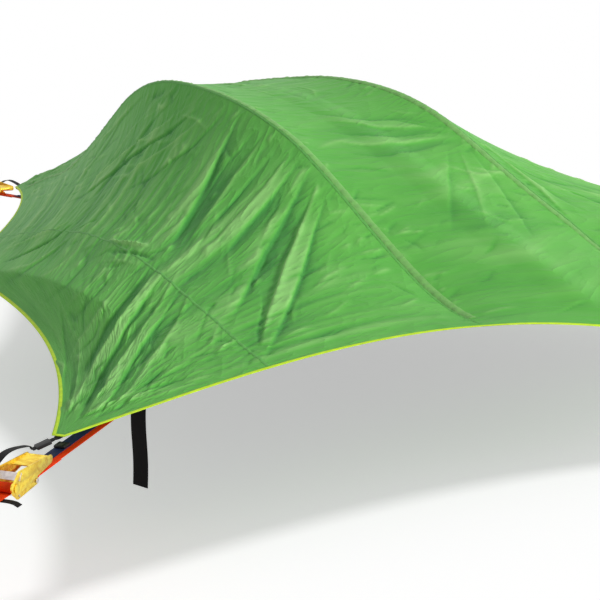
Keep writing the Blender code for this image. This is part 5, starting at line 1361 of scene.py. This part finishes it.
def build_fly_straps():
    """Black fly-tension straps with their ladder-lock buckles, tied off under the tree strap."""
    metal = settings()[2]
    black = black_webbing()
    plastic = moulded_plastic("buckle_moulded_nylon_black", metal.plastic_colour, MOULDED_GRAIN)
    # The strap runs down through the buckle and aside, up in a bulge, then down to the band
    # that goes across under the tree strap
    drop = BUCKLE_DROP - FLY_STRAP_DROP
    near = Vector((BUCKLE_NEAR, -FLY_STRAP_SIDE * 0.14, -FLY_STRAP_DROP - drop / 4.0))
    far = Vector((BUCKLE_FAR, -FLY_STRAP_SIDE * 0.86, -BUCKLE_DROP - drop / 2.0))
    level = -HUB_DROP - coil_radius() - WEB_THICKNESS - GAP
    side = -FLY_STRAP_SIDE
    tip = Vector((0.0, 0.0, -FLY_STRAP_DROP - GAP))
    inlet = smooth_path([Vector((-0.060, 0.0, -FLY_STRAP_DROP)), tip, near], 6)[:-1]
    through = [near + (far - near) * (k / 3.0) for k in range(4)]
    crest = far.z + FLY_STRAP_BULGE
    outlet = smooth_path([far, (0.074, side, (far.z + crest) / 2.0),
                          ((BAND_NEAR + BUCKLE_FAR) / 2.0, side, crest),
                          (BAND_NEAR - FLY_STRAP_WIDTH, side, (level * 3.0 + crest) / 4.0),
                          (BAND_NEAR, side, level), (BAND_NEAR + FLY_STRAP_WIDTH, side, level)],
                         10)[1:]
    x = BAND_NEAR + FLY_STRAP_WIDTH / 2.0
    low = level - WEB_THICKNESS / 2.0 - GAP
    band_path = [(x, side + 0.002, low), (x, -0.030, low), (x, 0.0, low), (x, 0.038, low),
                 (x - 0.002, 0.0460, low - 0.0012), (x - 0.008, 0.0560, low - 0.0060),
                 (x - 0.013, 0.0650, low - 0.0140)]
    for label in CORNER_ANGLES:
        matrix = corner_matrix(label)
        piece = strap("strap_fly_" + label, inlet + through + outlet, FLY_STRAP_WIDTH,
                      WEB_THICKNESS, matrix)
        stand_for(piece, black, "tent", "webbing", "fly_strap_" + label)
        band = strap("strap_band_" + label, band_path, FLY_STRAP_WIDTH, WEB_THICKNESS * 0.8,
                     matrix, lateral=(1.0, 0.0, 0.0))
        stand_for(band, black, "tent", "webbing", "fly_strap_" + label)
        buckle = copy_of("fly_buckle_" + label, "buckle_" + label)
        round_edges(buckle, 0.0006, 2, 20.0)
        stand_for(buckle, plastic, "tent", "plastic", "fly_buckle_" + label)


def build_hanging_strap():
    """A loose end that hangs almost straight, with the slight curl of stiff webbing."""
    matrix = corner_matrix("left") @ Matrix.Translation((HANG_PLACE, 0.0, FLOOR_WEB_BOTTOM - GAP))
    path = [(HANG_SWAY * math.sin(2.0 * math.pi * k / 40.0), 0.0, -0.0006 - HANG_LENGTH * (k / 40.0))
            for k in range(41)]
    piece = strap("strap_hanging_end", path, STRAP_WIDTH, WEB_THICKNESS, matrix,
                  lateral=SIDEWAYS, slant=0.009)
    stand_for(piece, black_webbing(), "hanging_strap", "webbing", "hanging_strap")


# Ratchets

def build_ratchets():
    """Pressed-steel ratchets, yellow-zinc plated, with bright pawls and bolts."""
    metal = settings()[2]
    yellow = plated_steel("ratchet_yellow_zinc_steel", metal.zinc_colour, metal.zinc_second, 0.30)
    bright = plated_steel("bolt_bright_zinc_steel", metal.steel_colour, metal.steel_second, 0.34)
    for label in CORNER_ANGLES:
        for part, body, material, edge in (
                ("ratchet_frame", "tent", yellow, 0.0006),
                ("ratchet_handle", "handle_" + label, yellow, 0.0007),
                ("ratchet_spool", "spool_" + label, yellow, 0.0004),
                ("ratchet_bolt", "tent", bright, 0.0006),
                ("handle_pawl", "handle_pawl_" + label, bright, 0.0004),
                ("frame_pawl", "frame_pawl_" + label, bright, 0.0004)):
            node = part + "_" + label
            piece = copy_of(node, part + "_plated_" + label)
            round_edges(piece, edge)
            stand_for(piece, material, body, "zinc" if material is yellow else "steel", node)


# Stage

def white_seen(tree):
    """1 for camera, glossy and transmission rays, which see the background as plain white."""
    path = add_node(tree, "ShaderNodeLightPath")
    seen = add_node(tree, "ShaderNodeMath", {0: (path, "Is Camera Ray"), 1: (path, "Is Glossy Ray")},
                    operation="MAXIMUM")
    return add_node(tree, "ShaderNodeMath", {
        0: (seen, "Value"), 1: (path, "Is Transmission Ray")}, operation="MAXIMUM")


def studio_floor(stage):
    """A wide matt white floor, lifted by its own glow, that fades into the background between 3.4
    and 5.2 m from the origin. It is clear from below, so that it doesn't hide the underside."""
    bpy.ops.object.select_all(action="DESELECT")
    bpy.ops.mesh.primitive_circle_add(vertices=128, radius=60.0, fill_type="NGON",
                                      location=(0.0, 0.0, -stage.floor_drop))
    floor = bpy.context.object
    floor.name = "studio_floor"
    floor.data.transform(Matrix.Translation(floor.location))
    floor.location = (0.0, 0.0, 0.0)
    material, tree, shader = start_material("studio_floor_matt_white", 0.9)
    place = add_node(tree, "ShaderNodeTexCoord")
    far = add_node(tree, "ShaderNodeVectorMath", {0: (place, "Object")}, operation="LENGTH")
    fade = add_node(tree, "ShaderNodeMapRange", {
        "Value": (far, "Value"), "From Min": 3.4, "From Max": 5.2})
    through = white_seen(tree)
    both = add_node(tree, "ShaderNodeMath", {0: (fade, "Result"), 1: (through, "Value")},
                    operation="MULTIPLY")
    lift = add_node(tree, "ShaderNodeMath", {0: (through, "Value"), 1: stage.floor_glow},
                    operation="MULTIPLY")
    set_inputs(tree, shader, {
        "Base Color": hex_colour(stage.floor_colour), "Specular IOR Level": 0.0,
        "Emission Color": WHITE, "Emission Strength": (lift, "Value")})
    glow = add_node(tree, "ShaderNodeEmission", {"Color": WHITE, "Strength": 1.0})
    mix = add_node(tree, "ShaderNodeMixShader", {
        0: (both, "Value"), 1: (shader, "BSDF"), 2: (glow, "Emission")})
    facing = add_node(tree, "ShaderNodeNewGeometry")
    clear = add_node(tree, "ShaderNodeBsdfTransparent")
    sided = add_node(tree, "ShaderNodeMixShader", {
        0: (facing, "Backfacing"), 1: (mix, 0), 2: (clear, "BSDF")})
    set_inputs(tree, tree.nodes["Material Output"], {"Surface": (sided, 0)})
    floor.data.materials.append(material)
    return floor


def studio_world(stage):
    """White surroundings, soft as light and plain white to look at."""
    world = bpy.data.worlds.new("studio_world")
    bpy.context.scene.world = world
    world.use_nodes = True
    tree = world.node_tree
    tree.nodes.clear()
    soft = add_node(tree, "ShaderNodeBackground", {"Color": WHITE, "Strength": stage.world_strength})
    white = add_node(tree, "ShaderNodeBackground", {"Color": WHITE, "Strength": 1.0})
    mix = add_node(tree, "ShaderNodeMixShader", {
        0: (white_seen(tree), "Value"), 1: (soft, "Background"), 2: (white, "Background")})
    add_node(tree, "ShaderNodeOutputWorld", {"Surface": (mix, 0)})


def studio_lamps(stage, floor):
    """Two lamps that light all but the floor, and one that lights the floor alone."""
    without_floor = bpy.data.collections.new("lit_without_the_floor")
    without_floor.objects.link(floor)
    without_floor.collection_objects[0].light_linking.link_state = "EXCLUDE"
    floor_alone = bpy.data.collections.new("lit_floor_alone")
    floor_alone.objects.link(floor)
    for name, place, power, angle, receivers in (
            ("key_light", stage.key_place, stage.key_power, stage.key_angle, without_floor),
            ("top_light", (0.0, 0.0, 6.0), stage.top_power, stage.top_angle, without_floor),
            ("floor_light", stage.floor_light_place, stage.floor_power, stage.top_angle,
             floor_alone)):
        lamp = bpy.data.lights.new(name, "SUN")
        lamp.energy = power
        lamp.angle = angle
        light = bpy.data.objects.new(name, lamp)
        bpy.context.scene.collection.objects.link(light)
        light.location = place
        aim = Vector() - Vector(place)
        light.rotation_euler = aim.to_track_quat("-Z", "Y").to_euler()
        light.light_linking.receiver_collection = receivers


def studio_camera(stage):
    camera = bpy.data.cameras.new("studio_camera")
    camera.sensor_width = 36.0
    camera.lens = stage.lens
    view = bpy.data.objects.new("studio_camera", camera)
    bpy.context.scene.collection.objects.link(view)
    view.location = stage.camera_place
    view.rotation_euler = (math.radians(90.0 - stage.camera_pitch), 0.0,
                           math.radians(stage.camera_yaw - 90.0))
    bpy.context.scene.camera = view


def build_stage():
    stage = settings()[3]
    bpy.context.scene.view_settings.view_transform = "Standard"
    floor = studio_floor(stage)
    studio_world(stage)
    studio_lamps(stage, floor)
    studio_camera(stage)


# The add-on

def colour_setting(name, code, description):
    return StringProperty(name=name, default=code, description=description)


def length_setting(name, default, low, high, description):
    return FloatProperty(name=name, default=default, min=low, max=high, subtype="DISTANCE",
                         unit="LENGTH", description=description)


def place_setting(name, default, description):
    return FloatVectorProperty(name=name, default=default, size=3, subtype="TRANSLATION",
                               unit="LENGTH", description=description)


def angle_setting(name, degrees, description):
    return FloatProperty(name=name, default=math.radians(degrees), min=0.0, max=1.5,
                         subtype="ANGLE", unit="ROTATION", description=description)


def plain_setting(name, default, low, high, description):
    return FloatProperty(name=name, default=default, min=low, max=high, description=description)


class TreeTentCloth(PropertyGroup):
    fly_colour: colour_setting("Fly colour", "#6ABF50", "Green of the rain fly, sRGB hex")
    fly_shade: colour_setting("Fly shade", "#57AE45", "Green where the fly's coat is thicker")
    # Painted highlight along the raised creases and painted shade in the sunk ones
    fly_crease_highlight: colour_setting("Fly light", "#93D277", "Green along the raised creases")
    fly_crease_shade: colour_setting("Fly depth", "#3B8A3C", "Green down in the sunk creases")
    sleeve_colour: colour_setting("Sleeve colour", "#74B957", "Pole sleeves along the ridges")
    binding_colour: colour_setting("Binding colour", "#D4FA22", "Neon tape round the fly's edge")
    binding_thread: colour_setting("Binding thread", "#B9DE1E", "Thread that holds the edge tape")
    thread_colour: colour_setting("Seam thread", "#6DB050", "Thread of the fly's seams")
    canopy_colour: colour_setting("Canopy colour", "#3A4038", "Insect net under the fly")
    floor_colour: colour_setting("Floor colour", "#6B706E", "Floor cloth")
    floor_dark: colour_setting("Floor shade", "#565B5A", "Floor cloth where it is worn in")
    crease_strength: plain_setting(
        "Crease strength", 1.0, 0.0, 3.0,
        "How strongly the pull creases the fly, against the photographed one")
    fly_thickness: length_setting(
        "Fly thickness", 0.0012, 0.0002, 0.005, "Thickness of the fly's cloth with its coat")
    binding_width: length_setting(
        "Binding width", 0.0115, 0.004, 0.03, "How far the edge tape reaches over the cloth")
    sleeve_width: length_setting(
        "Sleeve width", 0.030, 0.02, 0.08, "Width of the pole sleeve's band on the fly")


class TreeTentWebbing(PropertyGroup):
    orange_colour: colour_setting("Orange", "#FF4C10", "Tree and corner straps")
    # The colours between the ribs are painted shade in the weave's grooves
    orange_rib_shade: colour_setting("Orange between ribs", "#D42806", "Orange in the weave's depth")
    navy_colour: colour_setting("Navy", "#28365E", "Corner webbing")
    navy_rib_shade: colour_setting("Navy between ribs", "#141B2C", "Navy in the weave's depth")
    # The black between the ribs is painted shade on the straps, and the worn-in tone of the floor
    # webbing
    black_colour: colour_setting("Black", "#111010", "Fly straps and floor webbing")
    black_rib_shade_and_wear: colour_setting("Black between ribs", "#080608", "Black in the weave's depth")


class TreeTentMetal(PropertyGroup):
    zinc_colour: colour_setting("Yellow zinc", "#FFE45A", "Passivated zinc on the ratchets")
    zinc_second: colour_setting("Zinc tint", "#E2B43A", "Warmer tint where the film is thicker")
    steel_colour: colour_setting("Bright zinc", "#D8CFCB", "Bolts and pawls")
    steel_second: colour_setting("Bright zinc tint", "#B9AFAE", "Duller zinc on bolts and pawls")
    pole_colour: colour_setting("Pole", "#C9CCD0", "Anodised aluminium poles")
    plastic_colour: colour_setting("Plastic", "#121113", "Buckles, cups and slider")


class TreeTentStage(PropertyGroup):
    floor_colour: colour_setting("Floor", "#FFFFFF", "Studio floor")
    floor_glow: plain_setting(
        "Floor glow", 0.46, 0.0, 1.0,
        "How far the floor's own white lifts its shadows to the camera")
    floor_drop: length_setting(
        "Floor drop", 0.42, 0.3, 3.0, "How far the studio floor lies under the hung tent")
    lens: plain_setting(
        "Lens", 105.35, 20.0, 300.0, "Focal length on a 36 mm sensor, in millimetres")
    camera_place: place_setting(
        "Camera place", (-4.507, -5.090, 1.465), "Where the camera stands")
    camera_pitch: plain_setting(
        "Camera pitch", 13.36, 0.0, 89.0, "Degrees that the camera looks down")
    camera_yaw: plain_setting(
        "Camera yaw", 49.62, -180.0, 180.0, "Degrees of the camera's heading from the x axis")
    key_place: place_setting(
        "Key place", (4.33, -7.5, 3.15), "Where the key light shines from, towards the middle")
    key_power: plain_setting(
        "Key strength", 2.65, 0.0, 20.0, "Strength of the key light, in watts per square metre")
    key_angle: angle_setting(
        "Key softness", 18.0, "Angle that the key light fills, which softens shadows")
    floor_light_place: place_setting(
        "Floor light place", (1.2, 1.0, 6.0), "Where the floor's own light shines from")
    floor_power: plain_setting(
        "Floor light strength", 0.85, 0.0, 20.0,
        "Strength of the light that only reaches the floor, in watts per square metre")
    top_power: plain_setting(
        "Top strength", 0.35, 0.0, 20.0,
        "Strength of the light straight overhead, in watts per square metre")
    top_angle: angle_setting(
        "Top softness", 16.0, "Angle that the overhead and floor lights fill")
    world_strength: plain_setting(
        "World strength", 0.29, 0.0, 5.0, "Strength of the white surroundings as light")


class TREETENT_OT_fly_panels(Operator):
    """Sew the five creased panels of the rain fly"""
    bl_idname = "tree_tent.fly_panels"
    bl_label = "Fly Panels"

    def execute(self, context):
        build_fly_panels()
        return {"FINISHED"}


class TREETENT_OT_fly_seams(Operator):
    """Lay the felled seams and the ruched pole sleeves over the fly"""
    bl_idname = "tree_tent.fly_seams"
    bl_label = "Fly Seams"

    def execute(self, context):
        build_fly_seams()
        return {"FINISHED"}


class TREETENT_OT_fly_binding(Operator):
    """Fold the neon tape over the fly's edge"""
    bl_idname = "tree_tent.fly_binding"
    bl_label = "Fly Binding"

    def execute(self, context):
        build_fly_binding()
        return {"FINISHED"}


class TREETENT_OT_canopy(Operator):
    """Stretch the insect net over the poles"""
    bl_idname = "tree_tent.canopy"
    bl_label = "Canopy"

    def execute(self, context):
        build_canopy()
        return {"FINISHED"}


class TREETENT_OT_poles(Operator):
    """Set the two hooped poles in their cups"""
    bl_idname = "tree_tent.poles"
    bl_label = "Poles"

    def execute(self, context):
        build_poles()
        return {"FINISHED"}


class TREETENT_OT_floor(Operator):
    """Lay the floor cloth with its zipped hatch"""
    bl_idname = "tree_tent.floor"
    bl_label = "Floor"

    def execute(self, context):
        build_floor()
        return {"FINISHED"}


class TREETENT_OT_floor_webbing(Operator):
    """Sew the load webbing under the floor"""
    bl_idname = "tree_tent.floor_webbing"
    bl_label = "Floor Webbing"

    def execute(self, context):
        build_floor_webbing()
        return {"FINISHED"}


class TREETENT_OT_tree_straps(Operator):
    """Wind the tree straps on their spools and sew their loops"""
    bl_idname = "tree_tent.tree_straps"
    bl_label = "Tree Straps"

    def execute(self, context):
        build_tree_straps()
        return {"FINISHED"}


class TREETENT_OT_corner_straps(Operator):
    """Lead the corner straps round the ratchets' bolts, with the navy webbing on them"""
    bl_idname = "tree_tent.corner_straps"
    bl_label = "Corner Straps"

    def execute(self, context):
        build_corner_straps()
        return {"FINISHED"}


class TREETENT_OT_fly_straps(Operator):
    """Thread the black fly straps through their buckles"""
    bl_idname = "tree_tent.fly_straps"
    bl_label = "Fly Straps"

    def execute(self, context):
        build_fly_straps()
        return {"FINISHED"}


class TREETENT_OT_hanging_strap(Operator):
    """Hang the loose strap end under the left corner"""
    bl_idname = "tree_tent.hanging_strap"
    bl_label = "Hanging Strap"

    def execute(self, context):
        build_hanging_strap()
        return {"FINISHED"}


class TREETENT_OT_ratchets(Operator):
    """Finish the three ratchets with their spools, pawls and bolts"""
    bl_idname = "tree_tent.ratchets"
    bl_label = "Ratchets"

    def execute(self, context):
        build_ratchets()
        return {"FINISHED"}


class TREETENT_OT_stage(Operator):
    """Set up the studio floor, the lamps and the camera"""
    bl_idname = "tree_tent.stage"
    bl_label = "Studio"

    def execute(self, context):
        build_stage()
        return {"FINISHED"}


STEPS = (TREETENT_OT_stage, TREETENT_OT_fly_panels, TREETENT_OT_fly_seams,
         TREETENT_OT_fly_binding, TREETENT_OT_canopy, TREETENT_OT_poles, TREETENT_OT_floor,
         TREETENT_OT_floor_webbing, TREETENT_OT_tree_straps, TREETENT_OT_corner_straps,
         TREETENT_OT_fly_straps, TREETENT_OT_hanging_strap, TREETENT_OT_ratchets)
GROUPS = {"tree_tent_cloth": TreeTentCloth, "tree_tent_webbing": TreeTentWebbing,
          "tree_tent_metal": TreeTentMetal, "tree_tent_stage": TreeTentStage}


class TREETENT_PT_panel(Panel):
    """Sizes, colours and building steps of the tree tent"""
    bl_idname = "TREETENT_PT_panel"
    bl_label = "Tree Tent"
    bl_space_type = "VIEW_3D"
    bl_region_type = "UI"
    bl_category = "Tree Tent"

    def draw(self, context):
        for name, group in GROUPS.items():
            box = self.layout.box()
            for key in group.__annotations__:
                box.prop(getattr(context.scene, name), key)
        for step in STEPS:
            self.layout.operator(step.bl_idname)


CLASSES = (*GROUPS.values(), *STEPS, TREETENT_PT_panel)


def register():
    for kind in CLASSES:
        bpy.utils.register_class(kind)
    for name, group in GROUPS.items():
        setattr(bpy.types.Scene, name, PointerProperty(type=group))


def unregister():
    for name in GROUPS:
        delattr(bpy.types.Scene, name)
    for kind in reversed(CLASSES):
        bpy.utils.unregister_class(kind)


def main():
    register()
    for step in STEPS:
        family, action = step.bl_idname.split(".")
        getattr(getattr(bpy.ops, family), action)()


if __name__ == "__main__":
    main()
